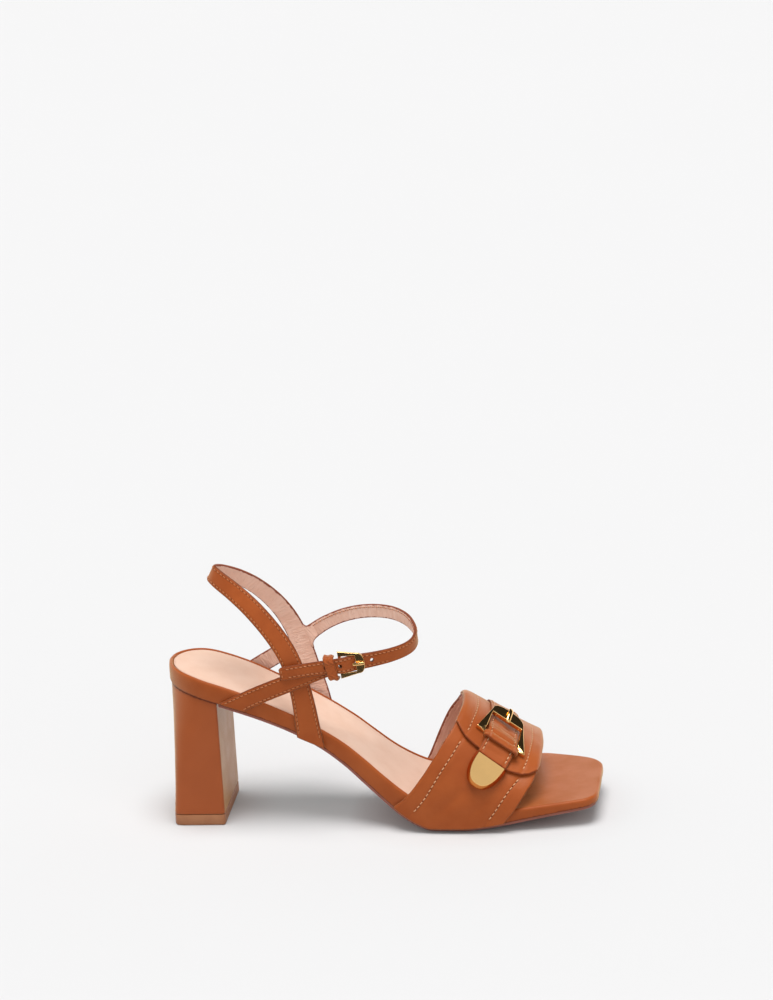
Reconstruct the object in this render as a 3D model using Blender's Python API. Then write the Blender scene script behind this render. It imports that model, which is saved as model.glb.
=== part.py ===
"""Heeled sandal for the right foot, as a shoemaker puts it together.

A leather-wrapped board with arch and toe spring stands on a block heel and a thin outsole. A broad vamp
band with an overlay and a buckled strap crosses the forefoot, and a slingback crossed by a buckled ankle
strap holds the heel. Sizes are in millimetres: x runs from the back of the heel seat to the toe, y from
the outer side of the foot (negative) to the inner side, z up from the floor.
"""

import math

import bmesh
import bpy
import numpy as np

# Driving sizes of the sole

MM = 0.001
GAP = 0.3
SHOE_LENGTH = 226.5
HEEL_SEAT_ROUND = 26.0
OUTER_TOE_CORNER = 8.0
INNER_TOE_CORNER = 16.0
OUTSOLE_THICKNESS = 1.8
OUTSOLE_INSET = 0.9
SOCK_THICKNESS = 1.0
SOCK_INSET = 2.5
SOCK_END = 160.0
BOARD_TOP_ROUND = 1.8
BOARD_BOTTOM_ROUND = 2.0
HEEL_BREAST = 27.9
HEEL_TIP_HEIGHT = 5.7

# Driving sizes of the upper and its trim

WALL = 2.0
STRAP_THICKNESS = 1.8
ARCH_POWER = 2.2
OVERLAY_THICKNESS = 1.4
ANKLE_STRAP_THICKNESS = 1.6
VAMP_STRAP_WIDTH = 17.5
VAMP_STRAP_THICKNESS = 1.6
VAMP_STRAP_ENDS = (0.2400, 0.975)
VAMP_KEEPER_ENDS = (0.300, 0.339)
KEEPER_THICKNESS = 1.2
BUCKLE_ENDS = (0.3405, 0.480)
BUCKLE_END_LIFT = 4.8
TIP_ENDS = (0.2375, 0.138)
TIP_END_LIFT = 0.6
VAMP_BUCKLE = {
    "half_base": 14.8, "shoulder": 9.4, "bow": 4.5, "half_window": 9.6, "taper": 0.7, "bar": 2.0, "end": 7.0,
    "thickness": 1.6, "swell": 1.0, "lean": 0.16,
}
ANKLE_BUCKLE = {
    "half_base": 7.5, "shoulder": 5.5, "bow": 3.4, "half_window": 4.7, "taper": 0.2, "bar": 1.6, "end": 4.6,
    "thickness": 1.4, "swell": 0.0, "lean": 0,
}
BUCKLE_BOW = 0.85
VAMP_PRONG = {"reach": 9.6, "width": 2.6, "thickness": 1.6}
ANKLE_PRONG = {"reach": 6.4, "width": 1.7, "thickness": 1.1}
STRAP_TIP = {"half_width": 9.5, "length": 16.5, "thickness": 3.0, "bevel": 0.9, "roundness": 2.4}
ANKLE_BUCKLE_BAR = (95.0, -28.9, 90.3)
ANKLE_BUCKLE_END = (108.4, -29.0, 91.7)
ANKLE_KEEPER = {"start": 88.8, "end": 93.0, "y": -27.6, "z": 89.2, "half": 5.3, "top": 4.2}

# Finishes: linear red, green and blue, roughness, metallic value

TAN_LEATHER = (0.42, 0.125, 0.040, 0.45, 0)
TAN_HEEL = (0.36, 0.100, 0.032, 0.45, 0)
NUDE_LINING = (0.80, 0.53, 0.40, 0.7, 0)
MAUVE_SOLE = (0.45, 0.20, 0.17, 0.6, 0)
TIP_RUBBER = (0.38, 0.16, 0.075, 0.6, 0)
GOLD = (0.83, 0.50, 0.16, 0.15, 1)


def table(columns, rows):
    """Named columns of a short table, each as an array over its rows."""
    return dict(zip(columns.split(), np.array(rows, float).T))


# Sole by length: half widths of the outer and inner edge, top of the board and walking surface

SOLE = table("x outer inner top tread", [
    (0.0, 26.2, 24.5, 84.4, 74.0),
    (14.0, 26.3, 24.6, 82.0, 71.0),
    (26.0, 26.5, 24.6, 78.4, 67.5),
    (40.0, 27.2, 23.6, 73.5, 62.9),
    (54.0, 27.2, 22.0, 67.1, 57.5),
    (68.0, 27.2, 21.0, 60.3, 51.0),
    (82.0, 27.6, 19.3, 52.7, 42.6),
    (94.0, 29.3, 17.4, 45.3, 33.6),
    (104.0, 31.2, 16.8, 37.4, 24.3),
    (114.0, 33.3, 18.0, 28.7, 15.1),
    (124.0, 35.7, 21.4, 20.9, 6.8),
    (132.0, 37.4, 25.2, 15.7, 2.3),
    (139.0, 38.4, 29.4, 12.5, 0.0),
    (148.0, 39.2, 34.8, 10.5, 0.0),
    (156.0, 39.5, 38.6, 9.9, 0.0),
    (166.0, 39.6, 41.6, 10.2, 0.9),
    (178.0, 39.2, 42.9, 11.4, 2.8),
    (192.0, 38.1, 41.8, 12.9, 5.2),
    (204.0, 36.2, 37.0, 13.8, 6.9),
    (215.0, 33.8, 32.2, 14.5, 8.1),
    (226.5, 31.6, 29.7, 15.6, 9.6),
])

# Heel by height, as a share from floor to seat: back edge, half width, and how square the back is

HEEL = table("share back half_width squareness", [
    (0.00, 0.4, 25.0, 14.0),
    (0.25, 1.5, 24.9, 10.0),
    (0.50, 1.8, 24.9, 6.0),
    (0.75, 1.5, 25.0, 3.4),
    (1.00, 1.0, 25.2, 2.2),
])

# Vamp by length: top line of its arch

CREST = table("x z", [
    (112.0, 79.0),
    (130.0, 72.5),
    (145.0, 66.0),
    (156.0, 60.0),
    (165.0, 53.3),
    (175.0, 46.0),
    (185.0, 39.0),
    (195.0, 33.3),
    (206.0, 28.8),
])

# Vamp by share of the arch from the outer to the inner end: where its back and front edges run

VAMP = table("share back front", [
    (0.00, 119.3, 178.0),
    (0.05, 126.8, 183.8),
    (0.14, 137.5, 189.6),
    (0.23, 146.2, 193.8),
    (0.35, 153.6, 196.2),
    (0.47, 156.0, 196.6),
    (0.58, 154.2, 195.0),
    (0.70, 150.0, 192.6),
    (0.79, 143.6, 191.0),
    (0.87, 137.6, 188.4),
    (0.94, 132.2, 184.6),
    (1.00, 126.0, 181.0),
])

# Overlay by share of its length from back to front: how far down the outer side its end reaches

OVERLAY_END = table("length share", [
    (0.00, 0.345),
    (0.07, 0.318),
    (0.20, 0.288),
    (0.35, 0.272),
    (0.50, 0.250),
    (0.72, 0.222),
    (0.84, 0.222),
    (0.93, 0.234),
    (1.00, 0.268),
])

# Slingback from the sole to its back fold: place along the shoe, distance from the middle line and height
# on the outer and on the inner side, width, and the way it faces

SLINGBACK = table("outer_x inner_x outer inner outer_z inner_z width turn lift slant", [
    (77.4, 76.4, 29.1, 22.0, 47.0, 47.0, 13.6, 0, 0, 0.62),
    (76.0, 74.2, 28.8, 22.6, 58.0, 58.0, 12.9, 0, 0, 0.0),
    (74.6, 71.4, 28.2, 23.2, 69.5, 69.5, 12.0, 0, 2, 0.0),
    (72.2, 68.2, 27.4, 23.7, 82.0, 82.0, 11.2, 0, 6, 0.0),
    (68.2, 64.0, 25.9, 23.4, 93.5, 93.9, 10.9, 0, 11, 0.0),
    (63.2, 59.2, 23.6, 22.3, 102.0, 103.4, 10.8, 3, 17, 0.0),
    (56.4, 52.9, 20.0, 19.8, 110.3, 112.4, 10.6, 6, 23, 0.0),
    (47.8, 45.3, 15.3, 15.5, 118.6, 120.8, 10.3, 10, 27, 0.0),
    (38.8, 37.6, 10.0, 10.3, 125.2, 127.2, 9.9, 20, 29, 0.0),
    (30.0, 29.7, 4.7, 4.8, 130.6, 131.6, 9.6, 48, 30, 0.0),
    (26.2, 26.2, 0.0, 0.0, 132.8, 132.8, 9.5, 90, 28, 0.0),
])

# Crossing strap on the outer side, from the sole to the small buckle

CROSS_STRAP = table("x y z width face lift slant", [
    (36.2, -28.3, 67.2, 9.8, 0, 0, 1.0),
    (46.0, -28.6, 72.0, 9.8, 0, 0, 0.0),
    (56.0, -28.9, 76.2, 9.8, 0, 0, 0.0),
    (66.0, -29.1, 80.1, 9.6, 0, 3, 0.0),
    (76.0, -28.9, 83.8, 9.2, 0, 3, 0.0),
    (86.0, -28.8, 87.4, 8.6, 0, 0, 0.0),
    (93.6, -28.8, 89.6, 8.2, 0, 0, 0.0),
])

# Ankle strap: inner side of the sole, round the front, through the small buckle, to its free end

ANKLE_STRAP = table("x y z width face lift slant", [
    (36.6, 25.2, 67.2, 9.8, 180, 0, -1.0),
    (46.0, 25.4, 72.8, 9.8, 180, 0, 0.0),
    (56.5, 25.5, 79.0, 9.6, 180, 0, 0.0),
    (66.0, 25.3, 85.2, 9.0, 180, 3, 0.0),
    (74.0, 25.0, 90.6, 8.2, 180, 3, 0.0),
    (82.0, 24.3, 95.6, 7.6, 186, 0, 0.0),
    (91.0, 23.2, 99.6, 7.5, 189, 0, 0.0),
    (101.0, 21.5, 102.2, 7.5, 193, 0, 0.0),
    (111.0, 19.0, 103.2, 7.5, 200, 0, 0.0),
    (119.5, 15.9, 102.7, 7.5, 210, 0, 0.0),
    (126.3, 11.3, 100.9, 7.5, 230, 0, 0.0),
    (130.7, 5.8, 98.0, 7.5, 255, 0, 0.0),
    (132.4, 0.0, 95.4, 7.5, 275, 0, 0.0),
    (131.4, -6.4, 93.4, 7.5, 296, 0, 0.0),
    (127.4, -12.8, 92.3, 7.5, 313, 0, 0.0),
    (120.5, -19.2, 91.8, 7.8, 323, 0, 0.0),
    (113.0, -23.6, 91.5, 8.2, 330, 0, 0.0),
    (107.6, -25.9, 91.3, 8.4, 335, 0, 0.0),
    (104.0, -27.0, 91.1, 8.4, 338, 0, 0.0),
    (100.4, -29.0, 90.9, 8.4, 338, 0, 0.0),
    (96.8, -30.7, 90.6, 8.4, 350, 0, 0.0),
    (92.0, -30.7, 90.1, 8.2, 360, 0, 0.0),
    (80.0, -30.5, 88.7, 7.6, 360, 0, 0.0),
    (70.0, -30.4, 87.2, 7.5, 360, 0, 0.0),
    (63.4, -30.4, 86.2, 7.2, 360, 0, 0.0),
])

# Decorative strap by share of the arch: its middle, as a share of the vamp's length, how far its front
# side lags behind per millimetre of width, and its height over the vamp, which rises over the buckle's bar

STRAP_LINE = table("share place skew height", [
    (0.120, 0.505, 0.0020, 2.0),
    (0.230, 0.519, 0.0020, 2.0),
    (0.262, 0.517, 0.0018, 2.3),
    (0.300, 0.512, 0.0015, 3.4),
    (0.328, 0.507, 0.0012, 4.5),
    (0.353, 0.502, 0.0011, 4.5),
    (0.377, 0.498, 0.0012, 3.3),
    (0.410, 0.493, 0.0013, 2.0),
    (0.500, 0.486, 0.0012, 2.0),
    (0.640, 0.490, 0.0005, 2.0),
    (0.790, 0.500, 0.0, 2.0),
    (0.845, 0.500, 0.0, 0.5),
    (1.000, 0.500, 0.0, 0.5),
])


def curve(rows, column, at, key):
    """Monotone cubic through a table's column, held at its end values past both ends."""
    xs = rows[key]
    ys = rows[column]
    steps = np.diff(xs)
    slopes = np.diff(ys) / steps
    product = slopes[:-1] * slopes[1:]
    total = slopes[:-1] + slopes[1:]
    inner = np.where(product > 0, 2 * product / np.where(product > 0, total, 1), 0)
    tangents = np.concatenate(([slopes[0]], inner, [slopes[-1]]))
    at = np.clip(np.asarray(at, float), xs[0], xs[-1])
    row = np.clip(np.searchsorted(xs, at, side="right") - 1, 0, len(xs) - 2)
    step = steps[row]
    part = (at - xs[row]) / step
    rest = 1 - part
    start = ys[row] * (1 + 2 * part) * rest ** 2
    end = ys[row + 1] * part ** 2 * (1 + 2 * rest)
    leave = tangents[row] * step * part * rest ** 2
    arrive = tangents[row + 1] * step * part ** 2 * rest
    return start + end + leave - arrive


def along_rows(rows, count):
    """Smooth curve through all the columns of a table at once, sampled at count even places."""
    points = np.column_stack(list(rows.values()))
    padded = np.vstack((2 * points[0] - points[1], points, 2 * points[-1] - points[-2]))
    place = np.linspace(0, len(points) - 1, count)
    row = np.minimum(place.astype(int), len(points) - 2)
    part = (place - row)[:, None]
    before, start, end, after = (padded[row + shift] for shift in range(4))
    bend = 2 * before - 5 * start + 4 * end - after
    twist = 3 * (start - end) + after - before
    values = start + 0.5 * part * (end - before + part * (bend + part * twist))
    return dict(zip(rows, values.T))


def unit(vectors):
    """Vectors scaled to length one."""
    return vectors / np.linalg.norm(vectors, axis=-1, keepdims=True)


# Functions of the sole

def outer_edge(x):
    """Distance of the outer edge of the board from the middle line, rounded at heel and toe."""
    edge = curve(SOLE, "outer", x, "x") * heel_round(x)
    return edge - toe_round(x, OUTER_TOE_CORNER)


def inner_edge(x):
    """Distance of the inner edge of the board from the middle line, rounded at heel and toe."""
    edge = curve(SOLE, "inner", x, "x") * heel_round(x)
    return edge - toe_round(x, INNER_TOE_CORNER)


def heel_round(x):
    """Half round of the heel seat: 0 at the back, 1 from the end of the round on."""
    reach = np.clip(1 - np.asarray(x, float) / HEEL_SEAT_ROUND, 0, 1)
    return np.sqrt(1 - reach ** 2)


def toe_round(x, radius):
    """How much a toe corner of this radius takes off the edge."""
    reach = np.clip((np.asarray(x, float) - SHOE_LENGTH + radius) / radius, 0, 1)
    return radius * (1 - np.sqrt(1 - reach ** 2))


def slant(column, x):
    """Length of the sloping line over its run, so that a thickness can be set upright."""
    step = 0.5
    rise = curve(SOLE, column, x + step, "x") - curve(SOLE, column, x - step, "x")
    return np.sqrt(1 + (rise / (2 * step)) ** 2)


def board_top(x):
    """Height of the board's top."""
    return curve(SOLE, "top", x, "x")


def walking_face(x):
    """Height of the outsole's underside."""
    return curve(SOLE, "tread", x, "x")


def outsole_top(x):
    """Height of the outsole's upper face."""
    return walking_face(x) + OUTSOLE_THICKNESS * slant("tread", x)


def board_bottom(x):
    """Height of the board's underside, a gap above the outsole."""
    return walking_face(x) + (OUTSOLE_THICKNESS + GAP) * slant("tread", x)


def stations(start, end):
    """Places along the sole, closer together in the rounds of heel seat and toe."""
    heel = HEEL_SEAT_ROUND * (1 - np.cos(np.radians(np.arange(8, 90, 9))))
    waist = np.arange(HEEL_SEAT_ROUND + 2, SHOE_LENGTH - INNER_TOE_CORNER - 3, 6.0)
    toe = SHOE_LENGTH - INNER_TOE_CORNER * (1 - np.sin(np.radians(np.arange(0, 91, 10))))
    places = np.concatenate((heel, waist, toe))
    inside = places[(places > start + 1) & (places < end - 1)]
    first = max(start, places[0])
    last = min(end, places[-1])
    return np.concatenate(([first], inside, [last]))


def outline(places, inset):
    """Plan of the sole moved inwards: outer edge from heel to toe, then inner edge back."""
    outer = np.column_stack((places, -outer_edge(places)))
    inner = np.column_stack((places, inner_edge(places)))[::-1]
    loop = []
    for edge in (outer, inner):
        ahead = unit(np.gradient(edge, axis=0))
        loop.append(edge + inset * np.column_stack((-ahead[:, 1], ahead[:, 0])))
    return np.vstack(loop)


# Functions that put points into objects

def finish(name, points, faces, look):
    """One closed object from points in millimetres, with its own material, on the shoe's stand."""
    mesh = bpy.data.meshes.new(name)
    mesh.from_pydata((np.asarray(points) * MM).tolist(), [], faces)
    work = bmesh.new()
    work.from_mesh(mesh)
    bmesh.ops.remove_doubles(work, verts=work.verts, dist=0.00001)
    bmesh.ops.recalc_face_normals(work, faces=work.faces)
    work.to_mesh(mesh)
    work.free()
    piece = bpy.data.objects.new(name, mesh)
    bpy.context.collection.objects.link(piece)
    piece.parent = stand
    material = bpy.data.materials.new(name)
    material.use_nodes = True
    shader = material.node_tree.nodes["Principled BSDF"]
    shader.inputs["Base Color"].default_value = (*look[:3], 1)
    shader.inputs["Roughness"].default_value = look[3]
    shader.inputs["Metallic"].default_value = look[4]
    mesh.materials.append(material)
    mesh.shade_smooth()
    mesh.set_sharp_from_angle(angle=math.radians(35))
    return piece


def stack(name, loops, look):
    """Solid from loops laid on each other, each half outer edge, half inner edge, with ladder caps."""
    size = len(loops[0])
    faces = []
    for level in range(len(loops) - 1):
        low = level * size
        for place in range(size):
            ahead = (place + 1) % size
            faces.append((low + place, low + ahead, low + size + ahead, low + size + place))
    roof = (len(loops) - 1) * size
    for place in range(size // 2 - 1):
        across = size - 1 - place
        faces.append((roof + place, roof + place + 1, roof + across - 1, roof + across))
        faces.append((across, across - 1, place + 1, place))
    return finish(name, np.vstack(loops), faces, look)


def slab(name, start, end, rings, look):
    """Layer of the sole: rings of (inset, height) from its underside to its top."""
    places = stations(start, end)
    loops = []
    for inset, height in rings:
        plan = outline(places, inset)
        loops.append(np.column_stack((plan, height(plan[:, 0]))))
    return stack(name, loops, look)


def sheet(name, under, over, look):
    """Solid between two grids of points of the same size, closed round the border."""
    rows, columns = over.shape[:2]
    number = np.arange(rows * columns).reshape(rows, columns)
    lift = rows * columns
    quads = np.stack((number[:-1, :-1], number[1:, :-1], number[1:, 1:], number[:-1, 1:]), -1)
    quads = quads.reshape(-1, 4)
    border = np.concatenate((number[0], number[1:, -1], number[-1, -2::-1], number[-2:0:-1, 0]))
    ahead = np.roll(border, -1)
    sides = np.column_stack((border, ahead, ahead + lift, border + lift))
    faces = np.vstack((quads + lift, quads[:, ::-1], sides)).tolist()
    points = np.vstack((under.reshape(-1, 3), over.reshape(-1, 3)))
    return finish(name, points, faces, look)


def ribbon(name, rows, count, thickness, look):
    """Flat strap along a table: the middle line, its width, and the way its outer side faces."""
    path = along_rows(rows, count)
    middle = np.column_stack((path["x"], path["y"], path["z"]))
    along = unit(np.gradient(middle, axis=0))
    face = np.radians(path["face"])
    lift = np.radians(path["lift"])
    level = np.cos(lift)
    guide = np.column_stack((-np.sin(face) * level, -np.cos(face) * level, np.sin(lift)))
    outward = unit(guide - (guide * along).sum(1, keepdims=True) * along)
    across = np.cross(along, outward)
    half = path["width"][:, None] / 2
    edge = half * (across + path["slant"][:, None] * along)
    low = middle - outward * thickness / 2
    high = middle + outward * thickness / 2
    under = np.stack((low - edge, low + edge), 1)
    over = np.stack((high - edge, high + edge), 1)
    return sheet(name, under, over, look)


def union(base, other):
    """Join another object to this one and keep it as a hidden guide."""
    other.hide_render = True
    other.display_type = "WIRE"
    joint = base.modifiers.new("join_" + other.name, "BOOLEAN")
    joint.operation = "UNION"
    joint.solver = "EXACT"
    joint.object = other


# Functions of the vamp

def arch(x, share):
    """Point of the vamp's outer face: an arch over the board, from its outer to its inner edge."""
    clear = WALL + 2 * GAP
    outer = outer_edge(x) + clear
    inner = inner_edge(x) + clear
    middle = (inner - outer) / 2
    half = (inner + outer) / 2
    base = board_bottom(x)
    height = curve(CREST, "z", x, "x") - base
    angle = np.pi * share
    run = np.abs(np.cos(angle)) ** (2 / ARCH_POWER) * np.sign(np.cos(angle))
    rise = np.sin(angle) ** (2 / ARCH_POWER)
    return np.stack((x, middle - half * run, base + height * rise), -1)


def vamp_face(share, length):
    """Point of the vamp's outer face by share of the arch and share of its length, back to front."""
    share = np.clip(share, 0.0001, 0.9999)
    back = curve(VAMP, "back", share, "share")
    front = curve(VAMP, "front", share, "share")
    return arch(back + (front - back) * length, share)


def vamp_axes(share, length):
    """Directions on the vamp: up the arch, towards the toe, and outwards."""
    step = 0.004
    share = np.clip(share, step, 1 - step)
    rise = vamp_face(share + step, length) - vamp_face(share - step, length)
    run = vamp_face(share, length + step) - vamp_face(share, length - step)
    return unit(rise), unit(run), unit(np.cross(run, rise))


def vamp_point(share, length, height):
    """Point at a height over the vamp's outer face."""
    outward = vamp_axes(share, length)[2]
    return vamp_face(share, length) + np.asarray(height)[..., None] * outward


def strap_point(share, side, height):
    """Point beside the decorative strap's middle line, at a height over the vamp."""
    share = np.asarray(share, float)
    place = curve(STRAP_LINE, "place", share, "share")
    skew = curve(STRAP_LINE, "skew", share, "share")
    ends = vamp_face(share, np.ones_like(share)) - vamp_face(share, np.zeros_like(share))
    return vamp_point(share - skew * side, place + side / np.linalg.norm(ends, axis=-1), height)


def plane_axes(share, half, height, end):
    """Axes of a flat piece over the vamp, from its edge across the strap: to its end, sideways, outwards."""
    back = strap_point(share, -half, height)
    front = strap_point(share, half, height)
    side = unit(front - back)
    middle = (back + front) / 2
    ahead = end - middle
    ahead = unit(ahead - (ahead @ side) * side)
    return middle, (ahead, side, np.cross(side, ahead))


# Functions of the metal trim and the keepers

def buckle_outline(reach, sizes):
    """Frame in the plane, its outer line and the line of its window, point for point, base points first.

    Straight sides lean in from the base to the shoulders, and a bow joins the shoulders. The window narrows a
    little from the bar to its end.
    """
    base = np.linspace(-1, 1, 7)
    turn = np.linspace(0, np.pi, 34)[1:-1]
    square = np.maximum(np.abs(np.cos(turn)), np.sin(turn))
    run = np.sin(turn) / square
    side = np.cos(turn) / square
    swing = np.clip(2 * turn - np.pi / 2, 0, np.pi)
    half, shoulder, bow = sizes["half_base"], sizes["shoulder"], sizes["bow"]
    flank = np.sign(side) * (half - (half - shoulder) * run)
    round_side = shoulder * np.sign(np.cos(swing)) * np.abs(np.cos(swing)) ** BUCKLE_BOW
    bow_side = np.where(run < 1, flank, round_side)
    bow_line = np.column_stack(((reach - bow) * run + bow * np.sin(swing) ** BUCKLE_BOW, bow_side))
    outer = np.vstack((np.column_stack((0 * base, half * base)), bow_line))
    bar, depth = sizes["bar"], reach - sizes["end"] - sizes["bar"]
    sill = np.column_stack((0 * base + bar, sizes["half_window"] * base))
    jamb = np.column_stack((bar + depth * run, (sizes["half_window"] - sizes["taper"] * run) * side))
    return outer, np.vstack((sill, jamb)), len(base)


def buckle_frame(name, origin, axes, reach, sizes):
    """Flat frame with a window: four rings of points joined all round, thicker beside and beyond the bar."""
    outer, window, base = buckle_outline(reach, sizes)
    ahead_axis, side_axis, up_axis = axes
    ahead_axis = ahead_axis - sizes["lean"] * side_axis
    size = len(outer)
    half = sizes["thickness"] / 2
    window_top = np.full(size, half + sizes["swell"])
    window_top[:base] = half
    outer_top = window_top.copy()
    outer_top[[0, base - 1]] = half + sizes["swell"]
    under = np.full(size, -half)
    rings = []
    for line, height in ((outer, under), (outer, outer_top), (window, window_top), (window, under)):
        flat = line[:, :1] * ahead_axis + line[:, 1:] * side_axis
        rings.append(origin + flat + height[:, None] * up_axis)
    faces = []
    for ring in range(4):
        here = ring * size
        there = (ring + 1) % 4 * size
        for place in range(size):
            ahead = (place + 1) % size
            faces.append((here + place, here + ahead, there + ahead, there + place))
    return finish(name, np.vstack(rings), faces, GOLD)


def prong(name, origin, axes, reach, frame, sizes):
    """Buckle prong: a slim bar with its top edges taken off, resting on the frame's round end."""
    ahead_axis, side_axis, up_axis = axes
    ahead_axis = ahead_axis - frame["lean"] * side_axis
    base = origin + (frame["thickness"] / 2 + frame["swell"] + GAP) * up_axis
    section = ((-0.5, 0), (0.5, 0), (0.5, 0.6), (0.25, 1), (-0.25, 1), (-0.5, 0.6))
    points = []
    for place in (reach - sizes["reach"], reach + GAP):
        for side, height in section:
            shift = side * sizes["width"] * side_axis + height * sizes["thickness"] * up_axis
            points.append(base + place * ahead_axis + shift)
    size = len(section)
    faces = [tuple(range(size)), tuple(range(size, 2 * size))]
    for place in range(size):
        ahead = (place + 1) % size
        faces.append((place, ahead, size + ahead, size + place))
    return finish(name, points, faces, GOLD)


def keeper_lines(half, foot, top):
    """Section of a keeper bent over a strap: side and height of its inner and of its outer line."""
    wide = half + KEEPER_THICKNESS
    inner = ((-half, foot), (-half, top), (half, top), (half, foot))
    outer = ((-wide, foot), (-wide, top + KEEPER_THICKNESS), (wide, top + KEEPER_THICKNESS), (wide, foot))
    return np.array(inner), np.array(outer)


for old in list(bpy.data.objects):
    bpy.data.objects.remove(old, do_unlink=True)

stand = bpy.data.objects.new("stand", None)
bpy.context.collection.objects.link(stand)

# Sole: outsole, wrapped board and sock

slab("outsole", HEEL_BREAST + 1, SHOE_LENGTH, [
    (OUTSOLE_INSET + 1.0, walking_face),
    (OUTSOLE_INSET, lambda x: walking_face(x) + 0.6),
    (OUTSOLE_INSET, outsole_top),
], MAUVE_SOLE)

slab("insole_board", 0, SHOE_LENGTH, [
    (BOARD_BOTTOM_ROUND, board_bottom),
    (BOARD_BOTTOM_ROUND * 0.3, lambda x: board_bottom(x) + BOARD_BOTTOM_ROUND * 0.3),
    (0, lambda x: board_bottom(x) + BOARD_BOTTOM_ROUND),
    (0, lambda x: board_top(x) - BOARD_TOP_ROUND),
    (BOARD_TOP_ROUND * 0.3, lambda x: board_top(x) - BOARD_TOP_ROUND * 0.3),
    (BOARD_TOP_ROUND, board_top),
], TAN_LEATHER)

slab("insole_sock", 0, SOCK_END, [
    (SOCK_INSET, lambda x: board_top(x) + GAP * slant("top", x)),
    (SOCK_INSET, lambda x: board_top(x) + (GAP + SOCK_THICKNESS) * slant("top", x)),
], NUDE_LINING)


# Heel: covered block and its tip

def heel_loop(share, height):
    """Heel's plan at a share of its height: round back, straight sides, flat front face."""
    back = curve(HEEL, "back", share, "share")
    half = curve(HEEL, "half_width", share, "share")
    power = curve(HEEL, "squareness", share, "share")
    part = (1 - np.cos(np.radians(np.linspace(4, 90, 17)))) ** 1.3
    x = back + (HEEL_BREAST - back) * part
    y = half * (1 - (1 - part) ** power) ** (1 / power)
    plan = np.column_stack((np.concatenate((x, x[::-1])), np.concatenate((-y, y[::-1]))))
    return np.column_stack((plan, height(plan[:, 0])))


def heel_height(share):
    """Height in the block at a share between the top of its tip and the underside of the board."""
    floor = HEEL_TIP_HEIGHT + GAP
    return lambda x: floor + share * (board_bottom(x) - GAP * slant("tread", x) - floor)


stack("heel_block", [heel_loop(share, heel_height(share)) for share in np.linspace(0, 1, 9)], TAN_HEEL)
stack("heel_tip", [heel_loop(0, lambda x: 0 * x + height) for height in (0, HEEL_TIP_HEIGHT)], TIP_RUBBER)

# Vamp: band over the forefoot, and the overlay that follows its face

share_grid, length_grid = np.meshgrid(np.linspace(0, 1, 41), np.linspace(0, 1, 9), indexing="ij")
level = np.zeros_like(share_grid)
band_inside = vamp_point(share_grid, length_grid, level - WALL)
sheet("vamp_band", band_inside, vamp_point(share_grid, length_grid, level), TAN_LEATHER)

overlay_top = GAP + OVERLAY_THICKNESS
overlay_lengths = np.sin(np.radians(np.linspace(-90, 90, 13))) / 2 + 0.5
share_grid, length_grid = np.meshgrid(np.linspace(0, 1, 27), overlay_lengths, indexing="ij")
end_share = curve(OVERLAY_END, "share", length_grid, "length")
overlay_share = end_share + (1 - 2 * end_share) * share_grid
level = np.zeros_like(share_grid)
overlay_under = vamp_point(overlay_share, length_grid, level + GAP)
overlay_over = vamp_point(overlay_share, length_grid, level + overlay_top)
sheet("vamp_overlay", overlay_under, overlay_over, TAN_LEATHER)

# Decorative strap, close steps round the buckle and wider ones down the inner side

first, last = VAMP_STRAP_ENDS
strap_steps = np.concatenate((np.linspace(first, 0.40, 20), np.linspace(0.42, last, 26)))
strap_sides = np.linspace(-VAMP_STRAP_WIDTH / 2, VAMP_STRAP_WIDTH / 2, 5)
share_grid, side_grid = np.meshgrid(strap_steps, strap_sides, indexing="ij")
strap_low = curve(STRAP_LINE, "height", share_grid, "share")
strap_under = strap_point(share_grid, side_grid, strap_low)
strap_over = strap_point(share_grid, side_grid, strap_low + VAMP_STRAP_THICKNESS)
sheet("vamp_strap", strap_under, strap_over, TAN_LEATHER)

# Keeper over the strap, its feet on the buckle's bar

foot = overlay_top + GAP
bar_top = foot + VAMP_BUCKLE["thickness"]
keeper_foot = strap_low.max() - GAP / 2
roof = strap_low.max() + VAMP_STRAP_THICKNESS + GAP
keeper_under = []
keeper_over = []
for share in np.linspace(*VAMP_KEEPER_ENDS, 4):
    inner, outer = keeper_lines(VAMP_STRAP_WIDTH / 2 + GAP, keeper_foot, roof)
    keeper_under.append(strap_point(0 * inner[:, 0] + share, inner[:, 0], inner[:, 1]))
    keeper_over.append(strap_point(0 * outer[:, 0] + share, outer[:, 0], outer[:, 1]))
sheet("vamp_keeper", np.array(keeper_under), np.array(keeper_over), TAN_LEATHER)

# Vamp buckle: its bar lies on the overlay, its round end stands off over the strap near the crest

bar_share, end_share = BUCKLE_ENDS
bar_height = (foot + bar_top) / 2
frame_end = strap_point(end_share, 0, bar_height + BUCKLE_END_LIFT)
bar_middle, plate_axes = plane_axes(bar_share, VAMP_BUCKLE["half_base"], bar_height, frame_end)
plate_origin = bar_middle - VAMP_BUCKLE["bar"] / 2 * plate_axes[0]
plate_reach = (frame_end - plate_origin) @ plate_axes[0]
buckle_frame("vamp_buckle_frame", plate_origin, plate_axes, plate_reach, VAMP_BUCKLE)
prong("vamp_buckle_prong", plate_origin, plate_axes, plate_reach, VAMP_BUCKLE, VAMP_PRONG)

# Metal tip that ends the decorative strap, a flat half oval with a bevelled face

tip_end = strap_point(TIP_ENDS[1], 0, foot + TIP_END_LIFT)
tip_start, tip_axes = plane_axes(TIP_ENDS[0], STRAP_TIP["half_width"], foot, tip_end)
tip_steps = np.sin(np.radians(np.linspace(0, 88, 13)))


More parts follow.
